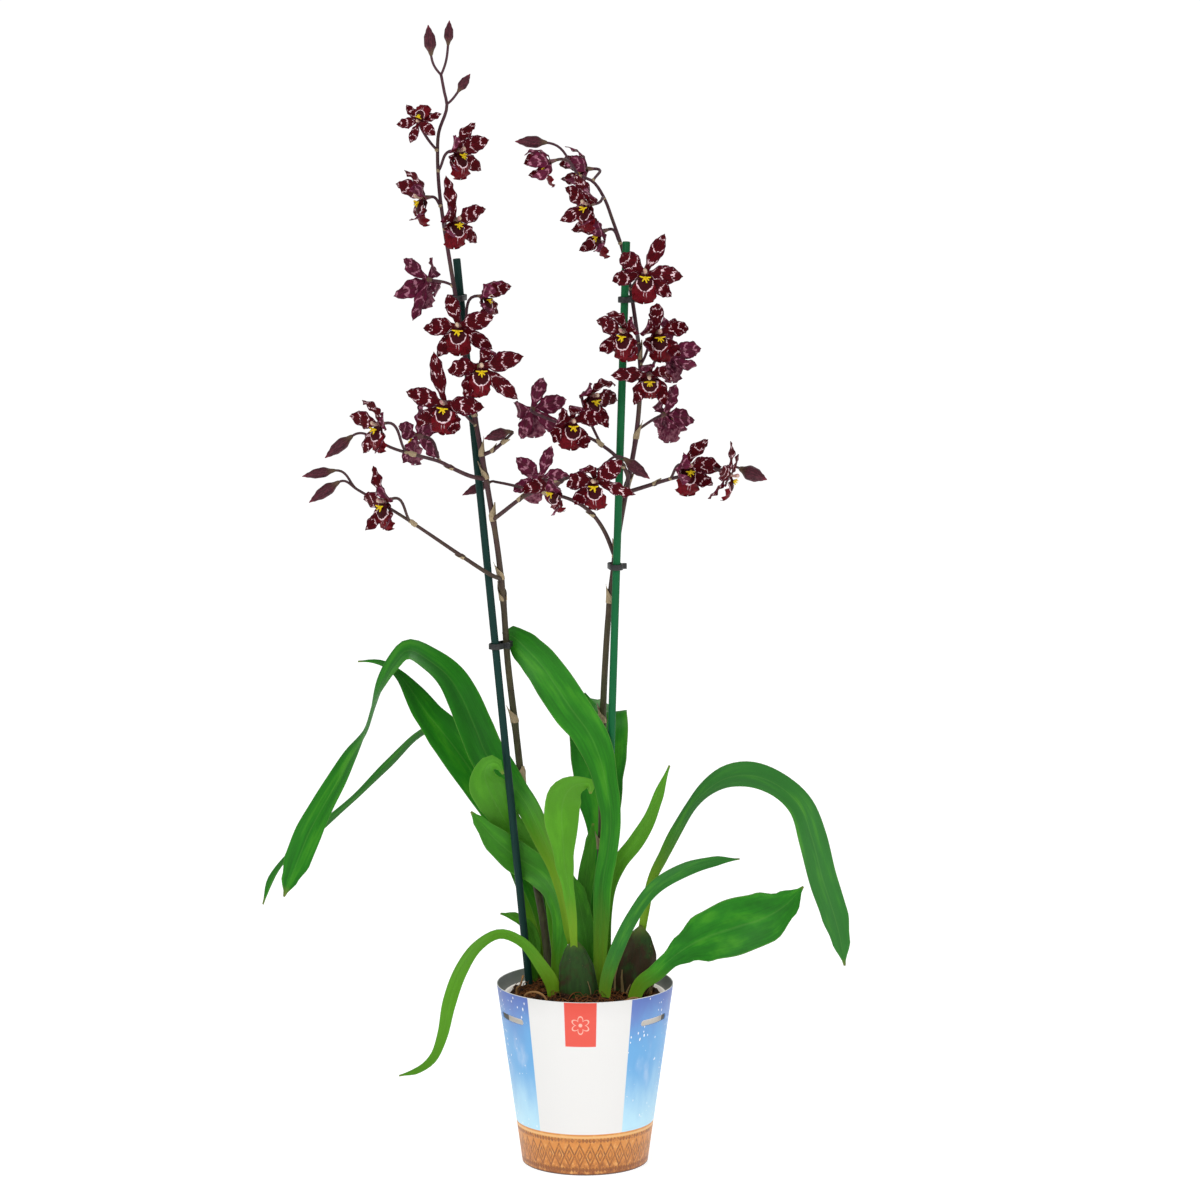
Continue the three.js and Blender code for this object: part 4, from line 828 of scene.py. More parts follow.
class ORCHID_OT_sleeve(bpy.types.Operator):
    """Makes the printed card sleeve with its two hand slots"""

    bl_idname = "orchid.sleeve"
    bl_label = "Card sleeve"

    def execute(self, context):
        look = context.scene.orchid_sleeve
        wall = look.wall / MM
        height = SLEEVE_HIGH.z / MM
        # profile from the middle of the underside, up the outside and down the inside
        rim, edge = sleeve_radius(height), height - CARD_EDGE
        fold_in, fold_up = SLEEVE_FOLD
        outer = [(sleeve_radius(0) - fold_in, 0), (sleeve_radius(fold_up), fold_up)]
        outer += [(sleeve_radius(z), z) for z in (*OUTER_RINGS, edge)]
        inner = [(rim - EDGE_ROUND, height), (rim - wall + EDGE_ROUND, height)]
        inner += [(sleeve_radius(z) - wall, z) for z in (edge, *INNER_RINGS, SLEEVE_FLOOR)]
        body = Body("card_sleeve")
        body.turned(180, [(0, 0), *outer, *inner, (0, SLEEVE_FLOOR)])
        for face in body.mesh.faces:
            centre = face.calc_center_median()
            reach = math.hypot(centre.x, centre.y)
            wall_middle = sleeve_radius(centre.z) - wall / 2
            face.material_index = 0 if reach > wall_middle else 1
            if centre.z > height - EDGE_ROUND:
                face.material_index = 2
            if centre.z < CARD_EDGE:
                face.material_index = 1
        paints = [card_paint(look), plain_card_paint(look), cut_edge_paint()]
        piece = body.finish(paints, "card", ["sleeve"])
        self.cut_slots(context, piece, look)
        piece.data.set_sharp_from_angle(angle=math.radians(50))
        return {"FINISHED"}

    def cut_slots(self, context, piece, look):
        """Slots with round ends, cut through the wall."""
        half = look.slot_height / 2
        reach = SLOT_WIDTH / 2 * MM - half
        bm = bmesh.new()
        for degrees in SLOT_ANGLES:
            turn = Matrix.Rotation(math.radians(degrees - 90), 4, "Z")
            out = (sleeve_radius(SLOT_Z) - CUTTER_START) * MM
            made = bmesh.ops.create_circle(bm, cap_ends=True, segments=28, radius=half)
            for vert in made["verts"]:
                x, y, _ = vert.co
                side = x + (reach if x > 1e-6 else -reach if x < -1e-6 else 0)
                vert.co = Vector((out, side, y + SLOT_Z * MM))
            face = next(f for f in made["verts"][0].link_faces)
            pulled = bmesh.ops.extrude_face_region(bm, geom=[face])
            new = [g for g in pulled["geom"] if isinstance(g, bmesh.types.BMVert)]
            bmesh.ops.translate(bm, vec=(CUTTER_DEPTH * MM, 0, 0), verts=new)
            bmesh.ops.rotate(bm, verts=[*made["verts"], *new], matrix=turn)
        bmesh.ops.recalc_face_normals(bm, faces=bm.faces)
        cutter_mesh = bpy.data.meshes.new("slot_cutter")
        bm.to_mesh(cutter_mesh)
        bm.free()
        cutter = bpy.data.objects.new("slot_cutter", cutter_mesh)
        context.scene.collection.objects.link(cutter)
        cut = piece.modifiers.new("slots", "BOOLEAN")
        cut.operation = "DIFFERENCE"
        cut.solver = "EXACT"
        cut.object = cutter
        context.view_layer.update()
        shaped = piece.evaluated_get(context.evaluated_depsgraph_get())
        cut_mesh = bpy.data.meshes.new_from_object(shaped)
        piece.modifiers.clear()
        old = piece.data
        piece.data = cut_mesh
        bpy.data.meshes.remove(old)
        cut_mesh.name = "card_sleeve"
        bpy.data.objects.remove(cutter)
        bpy.data.meshes.remove(cutter_mesh)


def pot_paint(look):
    paint = Paint("cloudy_plastic", specular=0.4)
    where = paint.point()
    cloud = paint.noise(where, 60.0, 3.0)
    dirt = paint.noise(where, 320.0, 4.0)
    colour = paint.blend(cloud * 0.5, look.plastic, shaded(look.plastic, 0.72))
    colour = paint.blend(dirt.rise(0.58, 0.8) * 0.4, colour, (0.3, 0.24, 0.19))
    # painted glow: the plastic gives off light of its own colour, standing in for light that comes through
    # the thin wall
    paint.feed("Emission Color", colour)
    paint.shader.inputs["Emission Strength"].default_value = 0.55
    return paint.done(colour, roughness=0.3 + dirt * 0.3)


POT_FOOT_RADIUS = 42  # millimetres, as the lengths below
POT_FLOOR = 1.4
POT_RIM_HEIGHT = 5


class ORCHID_OT_pot(bpy.types.Operator):
    """Makes the thin plastic pot inside the sleeve"""

    bl_idname = "orchid.pot"
    bl_label = "Plastic pot"

    def execute(self, context):
        look = context.scene.orchid_pot
        low, high = POT_LOW.z / MM, POT_HIGH.z / MM
        wall, lip = look.wall / MM, look.lip / MM
        rim = POT_HIGH.x / MM

        def radius(z):
            return mix(POT_FOOT_RADIUS, rim - lip, (z - low) / (high - low))

        ledge, floor = high - POT_RIM_HEIGHT, low + POT_FLOOR
        body = Body("plastic_pot")
        body.turned(96, [
            (0, low), (radius(low) - 0.6, low), (radius(low), low + 0.6), (radius(ledge), ledge),
            (radius(ledge) + lip - 0.2, ledge), (rim - 0.1, high - 0.5), (rim - 0.5, high),
            (radius(high) - wall + 0.3, high), (radius(high) - wall, high - 0.4),
            (radius(floor) - wall, floor), (0, floor),
        ])
        body.finish([pot_paint(look)], "pot", ["inner_pot"], smooth_angle=35)
        return {"FINISHED"}


# Potting mix


MIX_RADIUS = 56.5
MIX_FOOT_RADIUS = 40
LOOSE_RADIUS = 53  # how far out chips and fibres lie
CHIP_SIZES = (2.2, 6.0)
CHIP_WIDTHS = (0.4, 0.8)  # shares of its size
CHIP_HEIGHTS = (0.2, 0.4)
CHIP_LIFT = 0.22
CHIP_LEAN = 0.5  # radians
FIBRE_LENGTHS = (5, 17)
FIBRE_BEND = 1.3  # radians
FIBRE_LIFTS = (0.5, 0.9, 1.5, 3.0, 5.0)
FIBRE_RADII = (0.15, 0.38)
ROOT_RADIUS = 0.75
MIX_EDGE_Z = 124
MIX_TOP_Z = 129


def mix_height(x, y):
    """Height of the mix's lumpy top in millimetres."""
    share = min(math.hypot(x, y) / MIX_RADIUS, 1.0)
    lumps = 1.6 * wobble(x * 0.09, 3, y * 0.09) + 0.9 * wobble(x * 0.3, 5, y * 0.3)
    return mix(MIX_TOP_Z, MIX_EDGE_Z, share * share) + lumps


def loose_place(draw, inner):
    """A place drawn on the mix, for a chip or a fibre."""
    angle, share = draw.uniform(0, 2 * math.pi), draw.uniform(inner, 1) ** 0.5
    return LOOSE_RADIUS * share * math.cos(angle), LOOSE_RADIUS * share * math.sin(angle)


def bark_paint(look):
    paint = Paint("bark", roughness=0.95, specular=0.2)
    where = paint.point()
    grain = paint.noise(where, 420.0, 5.0, 0.7)
    patch = paint.noise(where, 95.0, 3.0)
    colour = paint.blend(grain.rise(0.35, 0.7), shaded(look.bark, 0.4), look.bark)
    colour = paint.blend((patch * grain).rise(0.26, 0.42) * 0.75, colour, look.bark_light)
    return paint.done(colour, (grain, 0.0008, 0.8))


def strand_paint(name, colour, dark):
    paint = Paint(name, roughness=0.85, specular=0.25)
    where = paint.point()
    grain = paint.noise(where, 700.0, 3.0)
    tint = paint.noise(where, 45.0, 2.0)
    base = paint.blend(tint.rise(0.35, 0.65), shaded(colour, dark), colour)
    base = paint.blend(grain * 0.5, base, shaded(colour, 0.55))
    return paint.done(base, (grain, 0.0003, 0.5))


class ORCHID_OT_mix(bpy.types.Operator):
    """Makes the bark mix, its loose chips and fibres, and the roots that lie on it"""

    bl_idname = "orchid.mix"
    bl_label = "Potting mix"

    def execute(self, context):
        look = context.scene.orchid_mix
        bark = bark_paint(look)
        self.ground(bark)
        self.chips(look.chips, bark)
        self.fibres(look.fibres, strand_paint("coir", look.fibre, 0.3))
        self.roots(strand_paint("dry_root", look.root, 0.55))
        return {"FINISHED"}

    def ground(self, bark):
        body = Body("bark_mix")
        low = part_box("growing_medium")[0].z / MM
        rings = 31
        top = [(MIX_RADIUS * (1 - ring / rings), mix_height) for ring in range(rings + 1)]
        body.turned(110, [(0, low), (MIX_FOOT_RADIUS, low), *top])
        body.finish([bark], "bark", ["growing_medium"])

    def chips(self, count, bark):
        body = Body("bark_chips")
        draw = random.Random(4)
        for _ in range(count):
            x, y = loose_place(draw, 0.1)
            size = draw.uniform(*CHIP_SIZES)
            made = bmesh.ops.create_icosphere(body.mesh, subdivisions=1, radius=1)
            width, height = draw.uniform(*CHIP_WIDTHS), draw.uniform(*CHIP_HEIGHTS)
            squash = Vector((size, size * width, size * height))
            turn = Matrix.Rotation(draw.uniform(0, ANY_TURN), 3, "Z")
            turn = turn @ Matrix.Rotation(draw.uniform(-CHIP_LEAN, CHIP_LEAN), 3, "X")
            lift = Vector((x, y, mix_height(x, y) + size * CHIP_LIFT))
            for vert in made["verts"]:
                jitter = Vector([draw.uniform(0.75, 1.2) for _ in range(3)])
                vert.co = turn @ (vert.co * jitter * squash) + lift
        body.finish([bark], "bark")

    def fibres(self, count, coir):
        body = Body("coir_fibres")
        draw = random.Random(9)
        for _ in range(count):
            x, y = loose_place(draw, 0.15)
            heading, reach = draw.uniform(0, ANY_TURN), draw.uniform(*FIBRE_LENGTHS)
            bend, lift = draw.uniform(-FIBRE_BEND, FIBRE_BEND), draw.choice(FIBRE_LIFTS)
            spots = []
            for i in range(6):
                t = i / 5
                turn = heading + bend * t
                px = x + reach * (t - 0.5) * math.cos(turn)
                py = y + reach * (t - 0.5) * math.sin(turn)
                keep = min(1.0, (LOOSE_RADIUS + 1) / max(math.hypot(px, py), 1))
                px, py = px * keep, py * keep
                spots.append(Vector((px, py, mix_height(px, py) + lift * math.sin(math.pi * t))))
            radius = draw.uniform(*FIBRE_RADII)
            body.tube(spots, lambda v, r=radius: r, sides=3)
        body.finish([coir], "bark")

    def roots(self, dry):
        body = Body("surface_roots")
        for number, rows in enumerate(ROOTS):
            spots = smooth_path(rows, 7)
            body.tube(spots, lambda v, n=number: ROOT_RADIUS * (1 + 0.2 * wobble(v * 9, n)), sides=8)
        body.finish([dry], "bark")


# Bulbs


# share of a bulb's height, share of its width
BULB_OUTLINE = [(0, 0), (0.03, 0.5), (0.16, 0.82), (0.42, 1), (0.68, 0.86), (0.88, 0.5), (1, 0)]
STRIPS = 9  # dry strips on a bulb
STRIP_FOOT = 0.18  # shares of the bulb's height
STRIP_TOPS = (0.35, 0.62)
STRIP_LEAN = 0.35  # radians, as are the half widths
STRIP_HALVES = (0.05, 0.13)


def bulb_paint(look):
    paint = Paint("bulb_skin", specular=0.2)
    where = paint.point()
    _, up, number = paint.place()
    groove = paint.noise(paint.lengthwise(0.16), 330.0, 4.0, 0.6)
    blotch = paint.noise(where, 70.0, 4.0, 0.6)
    fine = paint.noise(where, 650.0, 3.0)
    dry = abs(number - 2).rise(0.5, 0.2)
    colour = paint.blend((blotch + dry * 0.22).rise(0.52, 0.72), look.skin, look.brown)
    colour = paint.blend(groove.rise(0.42, 0.7) * 0.5, colour, (0.014, 0.026, 0.007))
    colour = paint.blend((groove * fine).rise(0.36, 0.5) * 0.3, colour, look.sheath)
    colour = paint.blend(up.rise(0.84, 0.99) * 0.5, colour, (0.16, 0.26, 0.04))
    return paint.done(colour, (groove + blotch * 0.4, 0.0007, 0.7), 0.42 + fine * 0.3)


class ORCHID_OT_bulbs(bpy.types.Operator):
    """Makes the flattened bulbs, each with its dry sheath"""

    bl_idname = "orchid.bulbs"
    bl_label = "Bulbs"

    def execute(self, context):
        look = context.scene.orchid_bulb
        skin = bulb_paint(look)
        dry = strand_paint("dry_sheath", look.sheath, 0.4)
        for number, (node, foot, apex, width, depth, turn) in enumerate(BULBS, 1):
            body = Body(f"bulb_{number}")
            foot, apex = Vector(foot), Vector(apex)
            spin = Matrix.Rotation(math.radians(turn), 3, "Z")

            def at(up, angle, grown):
                """A point round the bulb, its outline grown by a factor."""
                share = line_value(BULB_OUTLINE, up) * grown
                ring = Vector((share * width / 2 * math.cos(angle), share * depth / 2 * math.sin(angle), 0))
                return foot.lerp(apex, up) + spin @ ring

            def spot(u, v):
                angle = 2 * math.pi * u
                lumps = 0.025 * math.cos(9 * angle) + 0.03 * wobble(v * 4, number, math.sin(angle))
                return at(v, angle, 1 + lumps), (u, v, number)

            body.skin(48, 30, spot)
            body.finish([skin], "bulb", [node])
            self.sheath(number, at, dry)
        return {"FINISHED"}

    def sheath(self, number, at, dry):
        """Torn papery strips that still cling to the bulb's foot."""
        body = Body(f"bulb_sheath_{number}")
        draw = random.Random(20 + number)
        for _ in range(STRIPS):
            start, height = draw.uniform(0, 2 * math.pi), draw.uniform(*STRIP_TOPS)
            lean, half = draw.uniform(-STRIP_LEAN, STRIP_LEAN), draw.uniform(*STRIP_HALVES)

            def spot(u, v):
                side, out = blade(u)
                angle = start + lean * v + side * half * (1 - 0.8 * v)
                stand = 1.02 + 0.012 * out * abs(out) + 0.05 * v * v
                return at(mix(STRIP_FOOT, height, v), angle, stand), (u, v, number)

            body.skin(6, 8, spot)
        body.finish([dry], "bulb")


# Leaves


FRONT = Vector((0, -1, 0))
LEAF_ROW = 4  # millimetres between the rows of a leaf's mesh
LEAF_WAVE = 0.07  # share of the half width that its margin waves
FOOT_FOLD = 0.5  # how much deeper its fold is at its foot
FOOT_END = 0.14  # share of its length where that ends
RIB_SWELL = 1.2  # how much thicker it is at the midrib


def leaf_paint(look, under):
    """Greens that follow the veins; the leaf's tint goes from grey green at 0 to yellow green at 1."""
    paint = Paint("leaf_under" if under else "leaf_upper", specular=0.2)
    side, along, tint = paint.place()
    veins = paint.noise(paint.vector(side * 9, along * 1.2, tint * 9), 1.8, 3.0, 0.55)
    fine = paint.noise(paint.vector(side * 60, along * 6, tint * 5), 1.5, 2.0)
    cloud = paint.noise(paint.vector(side * 1.0, along * 4, tint * 7), 1.5, 3.0)
    green = paint.blend((veins * 0.3 + cloud * 0.7).rise(0.25, 0.78), look.dark, look.upper)
    green = paint.blend(tint.rise(0.55, 0.95), green, look.young)
    green = paint.blend(tint.rise(0.35, 0.05) * 0.6, green, look.under)
    green = paint.blend(cloud.rise(0.5, 0.75) * 0.3, green, (0.13, 0.42, 0.02))
    if under:
        green = paint.blend(0.5, green, look.under)
    rib = abs(side).rise(0.07, 0.0)
    green = paint.blend(rib * (0.4 if under else 0.16), green, (0.16, 0.4, 0.07))
    green = paint.blend(abs(side).rise(0.94, 1.0) * 0.35, green, (0.25, 0.45, 0.1))
    low = along + (cloud - 0.5) * 0.15
    green = paint.blend(low.rise(0.32, 0.03) * 0.8, green, look.foot)
    green = paint.blend(along.rise(0.98, 1.0) * 0.5, green, (0.3, 0.24, 0.07))
    relief = (veins + fine * 0.2 - rib * 0.5, 0.0003, 0.35)
    return paint.done(green, relief, (0.5 if under else 0.38) + fine * 0.16)


class ORCHID_OT_leaves(bpy.types.Operator):
    """Makes the strap leaves, folded along their midribs"""

    bl_idname = "orchid.leaves"
    bl_label = "Leaves"

    def execute(self, context):
        look = context.scene.orchid_leaf
        paints = [leaf_paint(look, False), leaf_paint(look, True)]
        for number, (node, side, route, widths, turns, tint) in enumerate(LEAVES, 1):
            self.leaf(look, number, node, side, route, widths, turns, tint, paints)
        return {"FINISHED"}

    def leaf(self, look, number, node, side, route, widths, turns, tint, paints):
        body = Body(f"leaf_blade_{number:02d}")
        way = Way(smooth_path(route))
        rows = max(24, round(way.length / LEAF_ROW))
        thick = look.thickness / MM / 2
        frames = []
        for i in range(rows + 1):
            t = i / rows
            along = way.along(t, 0.02)
            front = (FRONT - along * along.dot(FRONT)).normalized()
            upper = along.cross(front) * side
            turn = math.radians(line_value(turns, t))
            face = front * math.cos(turn) + upper * math.sin(turn)
            frames.append((way.at(t), along.cross(face).normalized(), face))

        def spot(u, v):
            row = round(v * rows)
            centre, across, face = frames[row]
            half = step_value(widths, v) * (1 + 0.03 * wobble(v * 7, number))
            share, out = blade(u)
            out *= thick * (1.0 + RIB_SWELL * max(0, 1 - abs(share) * 5))
            sign = 1 if share > 0 else -1
            wave = LEAF_WAVE * half * math.sin(v * rows * 0.33 + sign + number) * share * share
            fold = (look.fold + FOOT_FOLD * ease(1 - v / FOOT_END)) * half * (abs(share) ** 1.25)
            return centre + across * (share * half) + face * (fold + wave + out), (share, v, tint)

        body.skin(28, rows, spot, 0, 1)
        body.finish(paints, "leaf", [node])


# Sticks and clips


def coated_paint(name, colour):
    paint = Paint(name, specular=0.2)
    streak = paint.noise(paint.lengthwise(0.06), 900.0, 3.0)
    patch = paint.noise(paint.point(), 28.0, 3.0)
    base = paint.blend(patch, shaded(colour, 0.7), colour)
    base = paint.blend(streak.rise(0.55, 0.8) * 0.4, base, shaded(colour, 0.4))
    return paint.done(base, (streak, 0.0002, 0.4), 0.42 + streak * 0.25)


def clip_paint(colour):
    paint = Paint("clip_plastic")
    grain = paint.noise(paint.point(), 1200.0, 2.0)
    worn = [c * 2 + 0.01 for c in colour]
    return paint.done(paint.blend(grain, colour, worn), roughness=0.4 + grain * 0.2)


class ORCHID_OT_sticks(bpy.types.Operator):
    """Makes the two coated sticks and the clips that hold the spikes to them"""

    bl_idname = "orchid.sticks"
    bl_label = "Sticks and clips"

    def execute(self, context):
        look = context.scene.orchid_stick
        radius = look.radius / MM
        for node, slot, colour in (
            ("stake_left", "stake_dark", look.dark), ("stake_right", "stake_bright", look.bright)
        ):
            foot, top = (Vector(end) for end in STAKES[node])
            body = Body(node.replace("stake", "stick"))
            middle = [foot.lerp(top, i / 24) for i in range(1, 24)]
            spots = [foot, foot.lerp(top, 0.0004), *middle, top.lerp(foot, 0.0007), top]
            self.bar(body, spots, [radius - 0.5, *[radius] * (len(spots) - 2), radius - 0.45])
            body.finish([coated_paint(f"{slot}_coat", colour)], slot, [node], smooth_angle=45)
        black = clip_paint(look.clip)
        for name in ("left_lower", "left_upper", "right_lower", "right_upper"):
            self.clip(f"clip_{name}", black)
        return {"FINISHED"}

    def bar(self, body, spots, radii):
        """A straight round bar with flat ends; each ring stands on its own point."""
        along = (spots[-1] - spots[0]).normalized()
        side = along.cross(Vector((0, 1, 0))).normalized()
        other = along.cross(side)
        rings = [(spots[0], 0), *zip(spots, radii), (spots[-1], 0)]
        rows = len(rings) - 1

        def spot(u, v):
            centre, radius = rings[round(v * rows)]
            angle = 2 * math.pi * u
            return centre + (side * math.cos(angle) + other * math.sin(angle)) * radius, (u, v, 0)

        body.skin(28, rows, spot)

    def clip(self, node, black):
        """The clip's own solid, its edges rounded."""
        source = bmesh.new()
        source.from_mesh(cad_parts[node].data)
        bmesh.ops.remove_doubles(source, verts=source.verts, dist=1e-6)
        bmesh.ops.dissolve_limit(
            source, angle_limit=math.radians(2), verts=source.verts, edges=source.edges
        )
        sharp = [e for e in source.edges if e.calc_face_angle(0) > math.radians(50)]
        bmesh.ops.bevel(
            source, geom=sharp, offset=0.25 * MM, segments=2, profile=0.5, material=-1,
            affect="EDGES", clamp_overlap=True,
        )
        body = Body(node.replace("clip_", "band_"))
        body.mesh.free()
        body.mesh = source
        bmesh.ops.scale(source, vec=(1 / MM,) * 3, verts=source.verts)
        body.finish([black], "clip", [node], smooth_angle=40)


# Spikes


def stem_paint(look):
    paint = Paint("stem_skin", specular=0.2)
    where = paint.point()
    _, _, z = paint.parts(where)
    streak = paint.noise(paint.lengthwise(0.15), 500.0, 4.0)
    blotch = paint.noise(where, 60.0, 4.0)
    colour = paint.blend((z + (blotch - 0.5) * 0.2).rise(0.3, 0.56), look.low, look.high)
    colour = paint.blend(blotch.rise(0.5, 0.7) * 0.5, colour, (0.1, 0.09, 0.035))
    colour = paint.blend(streak.rise(0.4, 0.7) * 0.5, colour, shaded(look.high, 0.45))
    return paint.done(colour, (streak, 0.0004, 0.5), 0.4 + streak * 0.25)


def bud_paint(look):
    paint = Paint("bud_skin", roughness=0.55, specular=0.2)
    where = paint.point()
    around, along, _ = paint.place()
    seam = abs((around * 3).fraction() - 0.5).rise(0.44, 0.5)
    veins = paint.noise(paint.vector(around * 9, along * 1.5, 0.0), 4.0, 3.0)
    fine = paint.noise(where, 800.0, 3.0)
    colour = paint.blend(veins.rise(0.4, 0.7), look.bud, (0.12, 0.02, 0.035))
    colour = paint.blend(along.rise(0.35, 0.0) * 0.6, colour, (0.16, 0.12, 0.06))
    colour = paint.blend(fine.rise(0.55, 0.75) * 0.35, colour, (0.22, 0.09, 0.11))
    colour = paint.blend(along.rise(0.8, 1.0) * 0.5, colour, (0.3, 0.02, 0.05))
    colour = paint.blend(seam * 0.6, colour, (0.03, 0.006, 0.012))
    return paint.done(colour, (veins - seam * 0.8, 0.0005, 0.6))


def bract_paint(look):
    paint = Paint("dry_bract", roughness=0.75, specular=0.3)
    side, along, seed = paint.place()
    fibre = paint.noise(paint.vector(side * 9, along * 1.2, seed), 3.0, 4.0)
    stain = paint.noise(paint.vector(side * 2, along * 3, seed + 4), 2.0, 3.0)
    colour = paint.blend(fibre.rise(0.35, 0.7), shaded(look.bract, 0.55), look.bract)
    colour = paint.blend(stain.rise(0.5, 0.75) * 0.6, colour, (0.17, 0.1, 0.055))
    return paint.done(colour, (fibre, 0.0003, 0.6))


STALK_STEPS = 12


def stalk_spots(start, end, aim):
    """A stalk leaves the stem outwards and upwards, and arrives along the way its flower aims."""
    reach = (end - start).length * 0.5
    out = Vector((end.x - start.x, end.y - start.y, reach)).normalized()
    first, second = start + out * reach * 0.7, end - aim * reach
    spots = []
    for i in range(STALK_STEPS + 1):
        t = i / STALK_STEPS
        spots.append(
            start * (1 - t) ** 3 + first * 3 * t * (1 - t) ** 2 + second * 3 * t * t * (1 - t) + end * t**3
        )
    return spots


# Radii and lengths in millimetres
NODE_SWELL = 0.15  # share that the stem is thicker at a bract
NODE_REACH = 4
BRANCH_RADII = (1.7, 1.0)  # at its foot and its tip
STALK_RADII = (1.0, 1.15)
BUD_STALK_RADIUS = 0.95
OVARY_END = 6.2  # behind a flower's middle
SMALL_BRACT = 3.2
BRANCH_BRACT = 7.0
STEM_BRACT = 14.0
BUD_SHAPE = [(0, 0.25), (0.08, 0.42), (0.35, 1), (0.6, 0.93), (0.82, 0.5), (0.95, 0.16), (1, 0.04)]


class ORCHID_OT_spikes(bpy.types.Operator):
    """Makes the two flower spikes with their branches, stalks, buds and dry bracts"""

    bl_idname = "orchid.spikes"
    bl_label = "Flower spikes"

    def execute(self, context):
        look = context.scene.orchid_stem
        paints = [stem_paint(look), bud_paint(look), bract_paint(look)]
        for node, spec in SPIKES.items():
            rows = [row for row in BLOOMS if (row[0][0] in LEFT_GROUPS) == (node == "spike_left")]
            self.spike(look, node, spec, rows, paints)
        return {"FINISHED"}

    def spike(self, look, node, spec, blooms, paints):
        body = Body(f"flower_{node}")
        foot, tip = look.foot_radius / MM, look.tip_radius / MM
        stem = smooth_path(spec["stem"], 6)
        branches = [smooth_path(rows, 6) for rows in spec["branches"]]
        way = Way(stem)

        def stem_radius(v):
            z = way.at(v).z
            swell = sum(math.exp(-((z - height) / NODE_REACH) ** 2) for height, _ in spec["bracts"])
            return mix(foot, tip, v) * (1 + NODE_SWELL * swell)

        body.tube(stem, stem_radius, sides=12, rows=170)
        for line in branches:
            body.tube(line, lambda v: mix(*BRANCH_RADII, v), sides=9)
        every = [spot for line in (stem, *branches) for spot in line]

        def joint(target):
            return min(every, key=lambda spot: (spot - Vector(target)).length).copy()

        for start, base, top, radius in spec["buds"]:
            base, top = Vector(base), Vector(top)
            aim = (top - base).normalized()
            line = stalk_spots(joint(start), base + aim * 1.5, aim)
            body.tube(line, lambda v: BUD_STALK_RADIUS, sides=7)
            self.bud(body, base, top, radius)
        for _, at, start, azimuth, tilt, roll, size, _ in blooms:
            facing = bloom_axes(azimuth, tilt, roll)[0]
            line = stalk_spots(joint(start), Vector(at) - facing * OVARY_END * size, facing)
            body.tube(line, lambda v: mix(*STALK_RADII, v), sides=7)
            self.small_bract(body, line[0], line[1] - line[0], spec["seed"])
        for z, degrees in spec["bracts"]:
            share = way.share_at_height(z)
            self.bract(body, way, share, math.radians(degrees), mix(foot, tip, share) + 0.3, z)
        for line in branches:
            for share in (0.3, 0.62):
                self.bract(body, Way(line), share, share * 9, 1.6, share * 40, BRANCH_BRACT)
        body.finish(paints, "stem", [node])

    def bud(self, body, base, top, radius):
        """A pointed bud with three soft ridges where its sepals meet."""
        spots = [base.lerp(top, i / 22) for i in range(23)]
        body.tube(
            spots, lambda v: radius * step_value(BUD_SHAPE, v), sides=18, paint=1,
            shape=lambda u, v: 1 + 0.05 * math.cos(6 * math.pi * u),
        )

    def small_bract(self, body, start, heading, seed):
        """The small bract under a flower's stalk."""
        up = heading.normalized()
        side = up.cross(Vector((0.2, 1, 0.1))).normalized()
        out = side.cross(up)

        def spot(u, v):
            across, thick = blade(u)
            half = 1.7 * math.sin(math.pi * min(0.98, 0.12 + v * 0.86)) ** 0.7
            lift = out * (1.3 + 0.6 * v - 1.1 * across * across + 0.12 * thick)
            return start + up * (v * SMALL_BRACT - 0.6) + side * (across * half) - lift, (across, v, seed)

        body.skin(8, 6, spot, 2)

    def bract(self, body, way, share, angle, radius, seed, length=STEM_BRACT):
        """A dry sheath that wraps the stem at a node, its tip standing off a little."""
        reach = length / way.length

        def spot(u, v):
            t = share + reach * v
            centre, along = way.at(t), way.along(t)
            side = along.cross(Vector((math.cos(angle), math.sin(angle), 0))).normalized()
            out = side.cross(along).normalized()
            across, thick = blade(u)
            wrap = across * mix(2.9, 0.25, ease(v)) * (1 + 0.1 * wobble(v * 5, seed))
            stand = radius * mix(1.12, 1.7, v * v) + 0.14 * thick
            return centre + (out * math.cos(wrap) + side * math.sin(wrap)) * stand, (across, v, seed)

        body.skin(16, 12, spot, 2)


# Blooms


def bloom_axes(azimuth, tilt, roll):
    """The flower's facing, its upward direction and its right, from degrees."""
    azimuth, tilt, roll = math.radians(azimuth), math.radians(tilt), math.radians(roll)
    facing = Vector((
        math.sin(azimuth) * math.cos(tilt), -math.cos(azimuth) * math.cos(tilt), math.sin(tilt)
    ))
    upright = (Vector((0, 0, 1)) - facing * facing.z).normalized()
    dorsal = Matrix.Rotation(roll, 3, facing) @ upright
    return facing, dorsal, dorsal.cross(facing)


def bar_lines(paint, side, along, seed):
    """How far each point is from a bar's middle, 0 to 0.5; the bars bow back towards the margins."""
    warp = paint.noise(paint.vector(side * 1.5, along * 3.4, seed), 1.9, 3.0)
    steps = (along - side * side * 0.17 + (warp - 0.5) * 0.3) * 3.3 + seed * 0.37
    return abs(steps.fraction() - 0.5)


